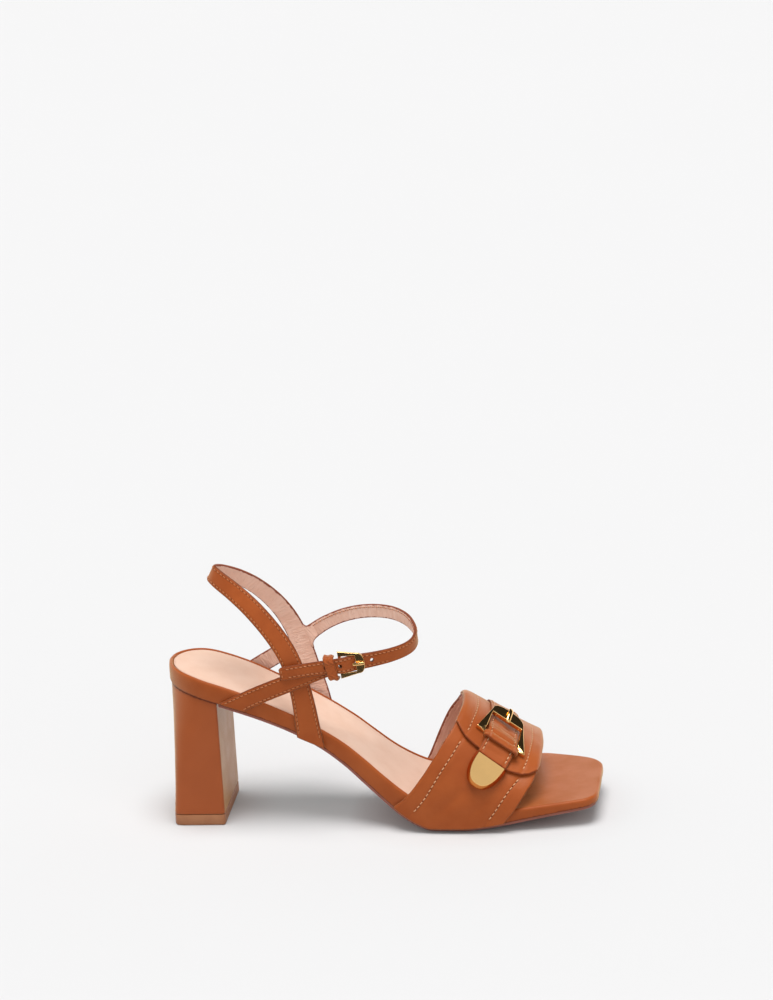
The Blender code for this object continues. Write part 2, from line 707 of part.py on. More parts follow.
def tip_loop(height, inset):
    """Half oval of the strap's tip at a height, moved inwards by inset."""
    along = inset + (STRAP_TIP["length"] - 2 * inset) * tip_steps
    power = STRAP_TIP["roundness"]
    side = (STRAP_TIP["half_width"] - inset) * (1 - tip_steps ** power) ** (1 / power)
    flat = np.column_stack((np.concatenate((along, along[::-1])), np.concatenate((-side, side[::-1]))))
    return tip_start + flat[:, :1] * tip_axes[0] + flat[:, 1:] * tip_axes[1] - height * tip_axes[2]


tip_shoulder = STRAP_TIP["thickness"] - STRAP_TIP["bevel"]
tip_levels = ((0, 0), (tip_shoulder, 0), (STRAP_TIP["thickness"], STRAP_TIP["bevel"]))
stack("vamp_strap_tip", [tip_loop(height, inset) for height, inset in tip_levels], GOLD)


# Slingback, crossing strap and ankle strap, sewn into one where they cross

def slingback_rows():
    """Rows of the slingback from its outer end over the back fold to its inner end."""
    outer = [SLINGBACK["outer_x"], -SLINGBACK["outer"], SLINGBACK["outer_z"], SLINGBACK["width"]]
    outer += [SLINGBACK["turn"], SLINGBACK["lift"], -SLINGBACK["slant"]]
    inner = [SLINGBACK["inner_x"], SLINGBACK["inner"], SLINGBACK["inner_z"], SLINGBACK["width"]]
    inner += [180 - SLINGBACK["turn"], SLINGBACK["lift"], SLINGBACK["slant"]]
    whole = np.column_stack((np.array(outer), np.array(inner)[:, -2::-1]))
    return dict(zip("x y z width face lift slant".split(), whole))


straps = ribbon("ankle_straps", slingback_rows(), 81, STRAP_THICKNESS, TAN_LEATHER)
union(straps, ribbon("cross_strap_guide", CROSS_STRAP, 25, STRAP_THICKNESS, TAN_LEATHER))
union(straps, ribbon("ankle_strap_guide", ANKLE_STRAP, 97, ANKLE_STRAP_THICKNESS, TAN_LEATHER))

# Small buckle and keeper at the outer side, flat against the crossing strap

small_bar = np.array(ANKLE_BUCKLE_BAR)
small_reach = np.linalg.norm(ANKLE_BUCKLE_END - small_bar)
ahead = (ANKLE_BUCKLE_END - small_bar) / small_reach
outward = np.array((0.0, -1.0, 0.0))
outward = unit(outward - (outward @ ahead) * ahead)
small_axes = (ahead, np.cross(ahead, outward), outward)
buckle_frame("ankle_buckle_frame", small_bar, small_axes, small_reach, ANKLE_BUCKLE)
prong("ankle_buckle_prong", small_bar, small_axes, small_reach, ANKLE_BUCKLE, ANKLE_PRONG)

inner, outer = keeper_lines(ANKLE_KEEPER["half"], 0, ANKLE_KEEPER["top"])
keeper_sides = []
for line in (inner, outer):
    section = line[:, :1] * small_axes[1] + line[:, 1:] * outward
    ends = [(ANKLE_KEEPER[end], ANKLE_KEEPER["y"], ANKLE_KEEPER["z"]) for end in ("start", "end")]
    keeper_sides.append(np.stack([section + end for end in ends]))
sheet("ankle_keeper", *keeper_sides, TAN_LEATHER)

# Origin on the floor, in the middle of the shoe's box

corners = np.vstack([[vertex.co for vertex in piece.data.vertices] for piece in stand.children])
lowest = corners.min(0)
highest = corners.max(0)
stand.location = (-(lowest[0] + highest[0]) / 2, -(lowest[1] + highest[1]) / 2, -lowest[2])
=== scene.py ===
"""Looks of a heeled sandal: leather, lining, thread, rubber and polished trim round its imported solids.

Sizes are millimetres in the shoemaker's frame: x from the back of the heel seat to the toe, y from the
outer side of the foot (negative) to the inner side, z up from the floor.
"""

import math

import bmesh
import bpy
import numpy as np
from mathutils import Matrix, Vector


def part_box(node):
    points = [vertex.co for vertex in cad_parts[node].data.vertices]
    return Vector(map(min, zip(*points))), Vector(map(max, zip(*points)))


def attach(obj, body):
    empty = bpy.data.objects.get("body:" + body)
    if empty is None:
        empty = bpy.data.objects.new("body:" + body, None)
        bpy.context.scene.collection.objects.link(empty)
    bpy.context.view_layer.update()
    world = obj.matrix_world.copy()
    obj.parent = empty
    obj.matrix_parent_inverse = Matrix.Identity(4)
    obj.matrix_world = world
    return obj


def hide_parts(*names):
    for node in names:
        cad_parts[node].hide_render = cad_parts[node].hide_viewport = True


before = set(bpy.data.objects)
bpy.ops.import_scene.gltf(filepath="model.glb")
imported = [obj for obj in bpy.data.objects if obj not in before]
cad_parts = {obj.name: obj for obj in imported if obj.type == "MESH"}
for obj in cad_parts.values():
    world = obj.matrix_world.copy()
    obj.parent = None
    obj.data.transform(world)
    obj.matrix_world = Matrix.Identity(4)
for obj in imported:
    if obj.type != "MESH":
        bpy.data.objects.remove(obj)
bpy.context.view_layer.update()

# Outsole
# A thin sheet of reddish brown rubber in the shape of the sole, cemented under the board from the heel's
# front face to the toe. Its lower edge is trimmed round, and its walking face has a fine moulded grain.

MM = 0.001
GAP = 0.3
SHOE_LENGTH = 226.5
HEEL_SEAT_ROUND = 26.0
OUTER_TOE_CORNER = 8.0
INNER_TOE_CORNER = 16.0
OUTSOLE_THICKNESS = 1.8
OUTSOLE_INSET = 0.9
HEEL_BREAST = 27.9
OUTSOLE_START = HEEL_BREAST + 1
SOLE_RUBBER = (0.335, 0.116, 0.084)
SOLE_RUBBER_DEEP = (0.275, 0.092, 0.066)
TIP_MIDDLE = sum(corner.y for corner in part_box("heel_tip")) / 2
SHIFT = np.array((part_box("heel_block")[1].x / MM - HEEL_BREAST, TIP_MIDDLE / MM, 0))

# Distance that stands for no cut edge near by
FAR = 9.0
SHARP_ANGLE = 48


def table(columns, rows):
    """Named columns of a short table, each as an array over its rows."""
    return dict(zip(columns.split(), np.array(rows, float).T))


# Half widths of the outer and inner edge, top of the board and walking face, by length
SOLE = table("x outer inner top tread", [
    (0.0, 26.2, 24.5, 84.4, 74.0),
    (14.0, 26.3, 24.6, 82.0, 71.0),
    (26.0, 26.5, 24.6, 78.4, 67.5),
    (40.0, 27.2, 23.6, 73.5, 62.9),
    (54.0, 27.2, 22.0, 67.1, 57.5),
    (68.0, 27.2, 21.0, 60.3, 51.0),
    (82.0, 27.6, 19.3, 52.7, 42.6),
    (94.0, 29.3, 17.4, 45.3, 33.6),
    (104.0, 31.2, 16.8, 37.4, 24.3),
    (114.0, 33.3, 18.0, 28.7, 15.1),
    (124.0, 35.7, 21.4, 20.9, 6.8),
    (132.0, 37.4, 25.2, 15.7, 2.3),
    (139.0, 38.4, 29.4, 12.5, 0.0),
    (148.0, 39.2, 34.8, 10.5, 0.0),
    (156.0, 39.5, 38.6, 9.9, 0.0),
    (166.0, 39.6, 41.6, 10.2, 0.9),
    (178.0, 39.2, 42.9, 11.4, 2.8),
    (192.0, 38.1, 41.8, 12.9, 5.2),
    (204.0, 36.2, 37.0, 13.8, 6.9),
    (215.0, 33.8, 32.2, 14.5, 8.1),
    (226.5, 31.6, 29.7, 15.6, 9.6),
])


def curve(rows, column, at, key):
    """Monotone cubic through a table's column: on each step a cubic with harmonic mean slopes at its ends."""
    xs = rows[key]
    ys = rows[column]
    steps = np.diff(xs)
    slopes = np.diff(ys) / steps
    product = slopes[:-1] * slopes[1:]
    total = slopes[:-1] + slopes[1:]
    inner = np.where(product > 0, 2 * product / np.where(product > 0, total, 1), 0)
    tangents = np.concatenate(([slopes[0]], inner, [slopes[-1]]))
    at = np.clip(np.asarray(at, float), xs[0], xs[-1])
    row = np.clip(np.searchsorted(xs, at, side="right") - 1, 0, len(xs) - 2)
    step = steps[row]
    part = (at - xs[row]) / step
    rest = 1 - part
    start = ys[row] * (1 + 2 * part) * rest ** 2
    end = ys[row + 1] * part ** 2 * (1 + 2 * rest)
    leave = tangents[row] * step * part * rest ** 2
    arrive = tangents[row + 1] * step * part ** 2 * rest
    return start + end + leave - arrive


def unit(vectors):
    """Vectors divided by their length."""
    return vectors / np.maximum(np.linalg.norm(vectors, axis=-1, keepdims=True), 1e-9)


def heel_round(x):
    """Half circle of the heel seat: root of 1 minus the square of the share left to its end."""
    reach = np.clip(1 - np.asarray(x, float) / HEEL_SEAT_ROUND, 0, 1)
    return np.sqrt(1 - reach ** 2)


def toe_round(x, radius):
    """Width that a quarter circle of this radius takes off a toe corner."""
    reach = np.clip((np.asarray(x, float) - SHOE_LENGTH + radius) / radius, 0, 1)
    return radius * (1 - np.sqrt(1 - reach ** 2))


def outer_edge(x):
    """Outer half width of the board, rounded at heel and toe."""
    return curve(SOLE, "outer", x, "x") * heel_round(x) - toe_round(x, OUTER_TOE_CORNER)


def inner_edge(x):
    """Inner half width of the board, rounded at heel and toe."""
    return curve(SOLE, "inner", x, "x") * heel_round(x) - toe_round(x, INNER_TOE_CORNER)


def slant(column, x):
    """Length of a sloping line of the sole over its run: root of 1 plus the square of its slope."""
    step = 0.5
    rise = curve(SOLE, column, x + step, "x") - curve(SOLE, column, x - step, "x")
    return np.sqrt(1 + (rise / (2 * step)) ** 2)


def board_top(x):
    """Height of the board's top."""
    return curve(SOLE, "top", x, "x")


def walking_face(x):
    """Height of the outsole's underside."""
    return curve(SOLE, "tread", x, "x")


def outsole_top(x):
    """Height of the outsole's upper face: its thickness set square to the slope."""
    return walking_face(x) + OUTSOLE_THICKNESS * slant("tread", x)


def stations(start, end):
    """Places along the sole: steps of a circle in the rounds of heel and toe, even steps between them."""
    heel = HEEL_SEAT_ROUND * (1 - np.cos(np.radians(np.arange(2, 90, 4))))
    waist = np.arange(HEEL_SEAT_ROUND + 1, SHOE_LENGTH - INNER_TOE_CORNER - 1, 2.0)
    toe = SHOE_LENGTH - INNER_TOE_CORNER * (1 - np.sin(np.radians(np.arange(0, 91, 3.75))))
    places = np.concatenate((heel, waist, toe))
    inside = places[(places > start + 0.5) & (places < end - 0.5)]
    first = max(start, places[0])
    last = min(end, places[-1])
    return np.concatenate(([first], inside, [last]))


def outline(places, inset):
    """Plan of the sole moved inwards: each edge point shifted square to its edge, outer then inner side."""
    loop = []
    outer = np.column_stack((places, -outer_edge(places)))
    inner = np.column_stack((places, inner_edge(places)))[::-1]
    for edge in (outer, inner):
        ahead = unit(np.gradient(edge, axis=0))
        loop.append(edge + inset * np.column_stack((-ahead[:, 1], ahead[:, 0])))
    return np.vstack(loop)


def grid_quads(number, closed=False):
    """Quads between neighbouring point numbers of a grid; closed joins its last column to its first."""
    if closed:
        number = np.column_stack((number, number[:, :1]))
    corners = (number[:-1, :-1], number[:-1, 1:], number[1:, 1:], number[1:, :-1])
    return np.stack(corners, -1).reshape(-1, 4)


def stacked(loops, across=2, crown=None):
    """Closed skin of loops laid on each other, with caps ruled between the loop's two halves.

    A cap's point lies at a share of the way from its outer to its inner edge; crown adds to the top's height.
    """
    loops = np.asarray(loops)
    count, size = loops.shape[:2]
    half = size // 2
    share = np.linspace(0, 1, across)
    points = [loops.reshape(-1, 3)]
    quads = [grid_quads(np.arange(count * size).reshape(count, size), closed=True)]
    for level in (-1, 0):
        outer = loops[level][:half, None]
        inner = loops[level][::-1][:half, None]
        cap = outer + (inner - outer) * share[None, :, None]
        if level == -1 and crown is not None:
            cap[..., 2] += crown(cap[..., 0], share[None, :])
        number = sum(len(part) for part in points) + np.arange(half * across).reshape(half, across)
        points.append(cap.reshape(-1, 3))
        quads.append(grid_quads(number))
    return np.vstack(points), np.vstack(quads)


def new_piece(name, shape, materials, node=None, rim=FAR, faces=None, way=(0.0, 0.0, 0.0)):
    """Object from points in millimetres and quads: doubles merged, faces turned out, riding on the shoe.

    rim is each point's distance from the piece's cut edge, way is how far it lies along and across the piece,
    and faces gives each quad's material.
    """
    points, quads = shape
    mesh = bpy.data.meshes.new(name)
    mesh.from_pydata(((points + SHIFT) * MM).tolist(), [], quads.tolist())
    distance = mesh.attributes.new("rim", "FLOAT", "POINT")
    distance.data.foreach_set("value", np.broadcast_to(np.float32(rim), len(points)).copy())
    travel = mesh.attributes.new("way", "FLOAT_VECTOR", "POINT")
    travel.data.foreach_set("vector", np.broadcast_to(np.float32(way), (len(points), 3)).reshape(-1))
    for item in materials:
        mesh.materials.append(item)
    if faces is not None:
        mesh.polygons.foreach_set("material_index", faces.astype(np.int32))
    work = bmesh.new()
    work.from_mesh(mesh)
    bmesh.ops.remove_doubles(work, verts=work.verts, dist=1e-6)
    bmesh.ops.dissolve_degenerate(work, edges=work.edges, dist=1e-7)
    bmesh.ops.recalc_face_normals(work, faces=work.faces)
    work.to_mesh(mesh)
    work.free()
    mesh.shade_smooth()
    mesh.set_sharp_from_angle(angle=math.radians(SHARP_ANGLE))
    piece = bpy.data.objects.new(name, mesh)
    bpy.context.scene.collection.objects.link(piece)
    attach(piece, "root")
    if node:
        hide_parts(node)
    return piece


def add(tree, kind, inputs=None, **settings):
    """Node of a kind with its settings; an input takes a socket to link or a value."""
    item = tree.nodes.new(kind)
    for key, value in settings.items():
        setattr(item, key, value)
    for key, value in (inputs or {}).items():
        if isinstance(value, bpy.types.NodeSocket):
            tree.links.new(value, item.inputs[key])
        else:
            item.inputs[key].default_value = value
    return item


def new_group(name, inputs, outputs):
    """Node group with named sockets, given as (name, kind, default); returns it with its two end nodes."""
    group = bpy.data.node_groups.new(name, "ShaderNodeTree")
    for label, kind, value in inputs:
        socket = group.interface.new_socket(label, in_out="INPUT", socket_type=kind)
        if value is not None:
            socket.default_value = value
    for label in outputs:
        group.interface.new_socket(label, in_out="OUTPUT", socket_type="NodeSocketFloat")
    return group, group.nodes.new("NodeGroupInput"), group.nodes.new("NodeGroupOutput")


def new_material(name, values):
    """Material with a Principled BSDF whose plain values are set on its own sockets."""
    material = bpy.data.materials.new(name)
    material.use_nodes = True
    tree = material.node_tree
    shader = tree.nodes["Principled BSDF"]
    for key, value in values.items():
        shader.inputs[key].default_value = value
    place = add(tree, "ShaderNodeTexCoord").outputs["Object"]
    return material, tree, shader, place


def mixed(tree, share, first, second):
    """Colour between two others by a share."""
    item = add(tree, "ShaderNodeMix", data_type="RGBA")
    for socket, value in ((item.inputs[0], share), (item.inputs[6], first), (item.inputs[7], second)):
        if isinstance(value, bpy.types.NodeSocket):
            tree.links.new(value, socket)
        else:
            socket.default_value = value
    return item.outputs[2]


def ranged(tree, value, low, high, to_low, to_high):
    """Value mapped from one range to another, smoothly and held at both ends."""
    inputs = {"Value": value, "From Min": low, "From Max": high, "To Min": to_low, "To Max": to_high}
    return add(tree, "ShaderNodeMapRange", inputs, interpolation_type="SMOOTHSTEP").outputs[0]


def bumped(tree, shader, height, strength, distance):
    """Bump of a height field on the shader's normal, its distance in millimetres."""
    inputs = {"Height": height, "Strength": strength, "Distance": distance * MM}
    tree.links.new(add(tree, "ShaderNodeBump", inputs).outputs[0], shader.inputs["Normal"])


speckle, group_in, group_out = new_group("speckle", [
    ("Vector", "NodeSocketVector", None),
    ("Fine Scale", "NodeSocketFloat", 900.0),
    ("Broad Scale", "NodeSocketFloat", 60.0),
], ["Fine", "Broad"])
for label in ("Fine", "Broad"):
    cloud = add(speckle, "ShaderNodeTexNoise", {
        "Vector": group_in.outputs["Vector"],
        "Scale": group_in.outputs[label + " Scale"],
        "Detail": 4.0,
        "Roughness": 0.6,
    })
    speckle.links.new(cloud.outputs["Fac"], group_out.inputs[label])


def rubber(name, pale, deep, roughness):
    """Moulded rubber: two tones mixed by broad clouds, with a fine bump of speckles."""
    material, tree, shader, place = new_material(name, {"Specular IOR Level": 0.35, "Roughness": roughness})
    clouds = add(tree, "ShaderNodeGroup", node_tree=speckle)
    tree.links.new(place, clouds.inputs["Vector"])
    share = ranged(tree, clouds.outputs["Broad"], 0.35, 0.65, 0.0, 1.0)
    tree.links.new(mixed(tree, share, (*pale, 1), (*deep, 1)), shader.inputs["Base Color"])
    bumped(tree, shader, clouds.outputs["Fine"], 0.25, 0.12)
    return material


def rings(places, steps):
    """Loops of the sole's plan, one for each (inset, height function) of its section."""
    loops = []
    for inset, height in steps:
        plan = outline(places, inset)
        loops.append(np.column_stack((plan, height(plan[:, 0]))))
    return np.array(loops)


# Section from the walking face round the trimmed edge to the top: inset and height
outsole_steps = [
    (OUTSOLE_INSET + 1.0, walking_face),
    (OUTSOLE_INSET + 0.3, lambda x: walking_face(x) + 0.18),
    (OUTSOLE_INSET, lambda x: walking_face(x) + 0.6),
    (OUTSOLE_INSET, lambda x: outsole_top(x) - 0.25),
    (OUTSOLE_INSET + 0.25, outsole_top),
]
sole_rubber = rubber("sole_rubber", SOLE_RUBBER, SOLE_RUBBER_DEEP, 0.62)
outsole_shape = stacked(rings(stations(OUTSOLE_START, SHOE_LENGTH), outsole_steps))
new_piece("outsole_rubber", outsole_shape, [sole_rubber], "outsole")

# Insole board
# A board with arch and toe spring, wrapped in the same tan leather as the upper: the leather is drawn over
# its rounded rim and lasted in underneath. Piping stands round the sock; the bare toe end is this wrapping.

BOARD_TOP_ROUND = 1.5
BOARD_BOTTOM_ROUND = 2.0
BOARD_LIP = 0.6
# Distance given to the side's foot, so the painted joint shade fades out just below it
JOINT_SHADE_REACH = 0.72
LIP_FADE = 3.0
PIPING_END = 172.0
PIPING_FADE = 16.0
TAN = (0.350, 0.077, 0.017)
TAN_DEEP = (0.305, 0.061, 0.012)
# Dark edge colour: edge paint on cut strap edges, and painted shade in the joints at the heel's top and the
# board's foot
EDGE_PAINT_AND_SHADE = (0.165, 0.031, 0.010)

# Section of the piping along the sock: inset from the board's edge and height over its top
PIPING = [(0.0, -2.2), (0.1, 0.1), (0.35, 0.8), (0.75, 1.3), (1.2, 1.5), (1.65, 1.3), (2.0, 0.8), (2.2, 0.0)]

leather_grain, group_in, group_out = new_group("leather_grain", [
    ("Vector", "NodeSocketVector", None),
    ("Pores", "NodeSocketFloat", 1500.0),
    ("Clouds", "NodeSocketFloat", 70.0),
], ["Height", "Mottle"])
pores = add(leather_grain, "ShaderNodeTexVoronoi", {
    "Vector": group_in.outputs["Vector"],
    "Scale": group_in.outputs["Pores"],
}, feature="DISTANCE_TO_EDGE")
domes = ranged(leather_grain, pores.outputs["Distance"], 0.0, 0.22, 0.0, 1.0)
fold_scale = add(leather_grain, "ShaderNodeMath", {
    0: group_in.outputs["Pores"],
    1: 0.3,
}, operation="MULTIPLY")
folds = add(leather_grain, "ShaderNodeTexNoise", {
    "Vector": group_in.outputs["Vector"],
    "Scale": fold_scale.outputs[0],
    "Detail": 5.0,
    "Roughness": 0.62,
})
low_folds = add(leather_grain, "ShaderNodeMath", {0: folds.outputs["Fac"], 1: 1.4}, operation="MULTIPLY")
relief = add(leather_grain, "ShaderNodeMath", {0: domes, 1: low_folds.outputs[0]}, operation="ADD")
leather_grain.links.new(relief.outputs[0], group_out.inputs["Height"])
clouds = add(leather_grain, "ShaderNodeTexNoise", {
    "Vector": group_in.outputs["Vector"],
    "Scale": group_in.outputs["Clouds"],
    "Detail": 6.0,
    "Roughness": 0.55,
})
leather_grain.links.new(clouds.outputs["Fac"], group_out.inputs["Mottle"])

# Mask of the dark edge colour by the rim distance: edge paint along cut edges, painted shade where the
# distance counts from a joint
edge_paint_and_shade_mask, group_in, group_out = new_group("edge_paint_and_shade_mask", [
    ("Vector", "NodeSocketVector", None),
    ("Reach", "NodeSocketFloat", 0.7),
], ["Mask"])
distance = add(edge_paint_and_shade_mask, "ShaderNodeAttribute", attribute_name="rim").outputs["Fac"]
ragged = add(edge_paint_and_shade_mask, "ShaderNodeTexNoise", {"Vector": group_in.outputs["Vector"], "Scale": 500.0})
wander = ranged(edge_paint_and_shade_mask, ragged.outputs["Fac"], 0.3, 0.7, -0.2, 0.2)
moved = add(edge_paint_and_shade_mask, "ShaderNodeMath", {0: distance, 1: wander}, operation="ADD")
share = add(edge_paint_and_shade_mask, "ShaderNodeMath", {
    0: moved.outputs[0],
    1: group_in.outputs["Reach"],
}, operation="DIVIDE")
mask = ranged(edge_paint_and_shade_mask, share.outputs[0], 0.45, 1.0, 1.0, 0.0)
edge_paint_and_shade_mask.links.new(mask, group_out.inputs["Mask"])


def leather(name, pale, deep, edge=EDGE_PAINT_AND_SHADE, reach=0.7, roughness=0.42, bump=0.16, coat=0.03, sheen=0.3):
    """Smooth leather: two tones mixed by clouds, a dark edge colour by the rim distance, pores and fine folds
    as bump. The edge colour is edge paint on cut straps, painted shade in the joints at the heel's top and
    the board's foot, and a plain darker band on folded pieces.
    """
    plain = {
        "Specular IOR Level": 0.2,
        "Specular Tint": (1.0, 0.88, 0.68, 1.0),
        "Coat Weight": coat,
        "Coat Roughness": 0.3,
        "Sheen Weight": sheen,
        "Sheen Roughness": 0.45,
        "Sheen Tint": (1.0, 0.86, 0.34, 1.0),
    }
    material, tree, shader, place = new_material(name, plain)
    grain = add(tree, "ShaderNodeGroup", node_tree=leather_grain)
    edge_mask = add(tree, "ShaderNodeGroup", node_tree=edge_paint_and_shade_mask)
    edge_mask.inputs["Reach"].default_value = reach
    for group in (grain, edge_mask):
        tree.links.new(place, group.inputs["Vector"])
    tone = ranged(tree, grain.outputs["Mottle"], 0.3, 0.72, 0.0, 1.0)
    skin = mixed(tree, tone, (*pale, 1), (*deep, 1))
    colour = mixed(tree, edge_mask.outputs["Mask"], skin, (*edge, 1))
    tree.links.new(colour, shader.inputs["Base Color"])
    gloss = ranged(tree, grain.outputs["Mottle"], 0.3, 0.7, roughness - 0.05, roughness + 0.07)
    tree.links.new(gloss, shader.inputs["Roughness"])
    bumped(tree, shader, grain.outputs["Height"], bump, 0.12)
    return material


def board_bottom(x):
    """Height of the board's underside, a gap over the outsole."""
    return walking_face(x) + (OUTSOLE_THICKNESS + GAP) * slant("tread", x)


def ramp(value, start, run):
    """Share of the way from a start over a run, which may be negative, held between 0 and 1."""
    return np.clip((value - start) / run, 0, 1)


def lip(height):
    """Height function of the wrap's lower lip: a depth under the board that fades out before the heel."""
    return lambda x: board_bottom(x) - height * ramp(x, OUTSOLE_START, LIP_FADE)


def piping(inset, height):
    """Height function of a ring of the rim.

    Along the sock it is a height over the board's top, and on the bare toe that of a quarter circle at
    this inset.
    """
    left = max(0.0, BOARD_TOP_ROUND - inset)
    bend = math.sqrt(BOARD_TOP_ROUND ** 2 - left ** 2) - BOARD_TOP_ROUND

    def level(x):
        share = ramp(x, PIPING_END, -PIPING_FADE)
        return board_top(x) + (share * height + (1 - share) * bend) * slant("top", x)
    return level


def loop_rim(loops, shape, distances):
    """Distance from the cut edge for a stack of loops: one value a loop, and far away on the caps."""
    rim = np.full(len(shape[0]), FAR)
    rim[:np.size(loops) // 3] = np.repeat(distances, len(loops[0]))
    return rim


tan_leather = leather("tan_leather", TAN, TAN_DEEP)
under_steps = [
    (BOARD_BOTTOM_ROUND, board_bottom),
    (0.85, board_bottom),
    (0.80, lip(BOARD_LIP - 0.2)),
    (0.55, lip(BOARD_LIP)),
    (0.18, lip(BOARD_LIP - 0.2)),
]
side_step = (0.0, lambda x: board_bottom(x) + 0.6)
rim_steps = [(inset, piping(inset, height)) for inset, height in PIPING]
board_loops = rings(stations(0, SHOE_LENGTH), [*under_steps, side_step, *rim_steps])
board_shape = stacked(board_loops, 9)
# The lip and the foot of the side get the dark edge colour: painted shade along the joint between board and
# outsole
shade_from_joint = [0.0] * len(under_steps) + [JOINT_SHADE_REACH] + [FAR] * len(rim_steps)
board_shade_rim = loop_rim(board_loops, board_shape, shade_from_joint)
new_piece("insole_board_wrap", board_shape, [tan_leather], "insole_board", board_shade_rim)

# Insole sock
# A soft nude leather sock over thin foam, glued on the board from the heel seat to under the vamp. Its cut
# edge is rolled down, and the foam lets it swell a little between its edges.

SOCK_THICKNESS = 1.0
SOCK_INSET = 2.5
SOCK_END = 160.0
SOCK_SWELL = 0.35
NUDE = (0.680, 0.472, 0.368)
NUDE_DEEP = (0.648, 0.432, 0.328)
NUDE_EDGE = (0.490, 0.260, 0.175)


def sock_level(height):
    """Height function of a level in the sock, over the board and square to its slope."""
    return lambda x: board_top(x) + height * slant("top", x)


sock_steps = [
    (SOCK_INSET + 0.15, sock_level(GAP)),
    (SOCK_INSET, sock_level(GAP + 0.25)),
    (SOCK_INSET + 0.12, sock_level(GAP + 0.62)),
    (SOCK_INSET + 0.45, sock_level(GAP + 0.88)),
    (SOCK_INSET + 1.0, sock_level(GAP + SOCK_THICKNESS)),
]
sock_leather = leather(
    "sock_leather", NUDE, NUDE_DEEP, NUDE_EDGE, roughness=0.6, bump=0.1, coat=0.0, sheen=0.03)
sock_loops = rings(stations(0, SOCK_END), sock_steps)
sock_shape = stacked(sock_loops, 25, lambda x, share: SOCK_SWELL * (1 - (2 * share - 1) ** 6) + 0 * x)
new_piece("insole_sock_leather", sock_shape, [sock_leather], "insole_sock")

# Heel block
# A high block heel covered in tan leather: nearly square at the floor, round at the back under the heel
# seat, with a flat front face. The cover is drawn tight, and a painted dark band at its top stands for the
# joint's shade.

HEEL_TIP_HEIGHT = 5.7
HEEL_CORNER = 1.4
SEAT_RISE = 62.0
HEEL_TAN = (0.345, 0.073, 0.016)
HEEL_TAN_DEEP = (0.325, 0.067, 0.014)

# Back edge, half width and squareness of the back by height, as a share from floor to seat
HEEL = table("share back half_width squareness", [
    (0.00, 0.4, 25.0, 14.0),
    (0.25, 1.5, 24.9, 10.0),
    (0.50, 1.8, 24.9, 6.0),
    (0.75, 1.5, 25.0, 3.4),
    (1.00, 1.0, 25.2, 2.2),
])


def heel_plan(share, inset):
    """Half plan of the heel and its mirror: superellipse round the back, side, corner arc, half the front."""
    back = curve(HEEL, "back", share, "share") + inset
    half = curve(HEEL, "half_width", share, "share") - inset
    power = curve(HEEL, "squareness", share, "share")
    front = HEEL_BREAST - inset
    reach = (front - HEEL_CORNER - back) / (front - back)
    part = reach * (1 - np.cos(np.radians(np.linspace(3, 90, 44)))) ** 1.3
    x = back + (front - back) * part
    y = half * (1 - (1 - part) ** power) ** (1 / power)
    turn = np.radians(np.linspace(0, 90, 8)[1:])
    x = np.concatenate((x, front - HEEL_CORNER * (1 - np.sin(turn)), np.full(12, front)))
    face = np.linspace(half - HEEL_CORNER, 0, 14)[1:-1]
    y = np.concatenate((y, half - HEEL_CORNER * (1 - np.cos(turn)), face))
    return np.column_stack((np.concatenate((x, x[::-1])), np.concatenate((-y, y[::-1]))))


def heel_level(share, inset=0.0):
    """Loop of the block at a share of the height between its tip and the underside of the board."""
    plan = heel_plan(share, inset)
    floor = HEEL_TIP_HEIGHT + GAP
    seat = board_bottom(plan[:, 0]) - GAP * slant("tread", plan[:, 0])
    return np.column_stack((plan, floor + share * (seat - floor)))


heel_leather = leather(
    "heel_leather", HEEL_TAN, HEEL_TAN_DEEP, reach=1.1, roughness=0.38, bump=0.12, coat=0.22)
flank_shares = np.linspace(0.012, 0.975, 46)
heel_shares = np.concatenate(([0.0, 0.004], flank_shares, [0.983, 0.990, 0.996, 1.0]))
heel_insets = np.concatenate(([0.35, 0.08], np.zeros(48), [0.08, 0.35]))
heel_loops = [heel_level(share, inset) for share, inset in zip(heel_shares, heel_insets)]
heel_shape = stacked(heel_loops)
# Distance below the seat: the edge colour paints a dark band at the cover's top, painted shade of the joint
# under the board
heel_shade_rim = loop_rim(heel_loops, heel_shape, (1 - heel_shares) * SEAT_RISE)
new_piece("heel_block_cover", heel_shape, [heel_leather], "heel_block", heel_shade_rim)

# Heel tip
# A block of hard tan rubber nailed under the heel, trimmed flush with its cover. A fine dark joint shows
# between the two.

TIP_RUBBER = (0.370, 0.155, 0.068)
TIP_RUBBER_DEEP = (0.310, 0.122, 0.052)

# Section of the tip from the floor to the joint: height and inset
HEEL_TIP_STEPS = ((0, 0.4), (0.12, 0.12), (0.4, 0), (5.45, 0), (5.6, 0.08), (HEEL_TIP_HEIGHT, 0.3))

tip_rubber = rubber("tip_rubber", TIP_RUBBER, TIP_RUBBER_DEEP, 0.5)
tip_loops = []
for height, inset in HEEL_TIP_STEPS:
    plan = heel_plan(0, inset)
    tip_loops.append(np.column_stack((plan, np.full(len(plan), height))))
new_piece("heel_tip_rubber", stacked(tip_loops), [tip_rubber], "heel_tip")

# Vamp band
# A broad band of tan leather over the forefoot, lined in rosy nude leather. Its back and front edges are
# turned in and held by a seam of peach thread, and its ends are lasted in under the board.

WALL = 2.0
ARCH_POWER = 2.2
VAMP_WIDTH = 46.0
SEAM_INSET = 7.6
SEAM_FLARE = 3.2
SEAM_FLARE_TOP = 0.21
SEAM_FLARE_RUN = 0.19
SEAM_GROOVE = 0.7
RIDGE_PLACE = 1.9
RIDGE_HEIGHT = 0.35
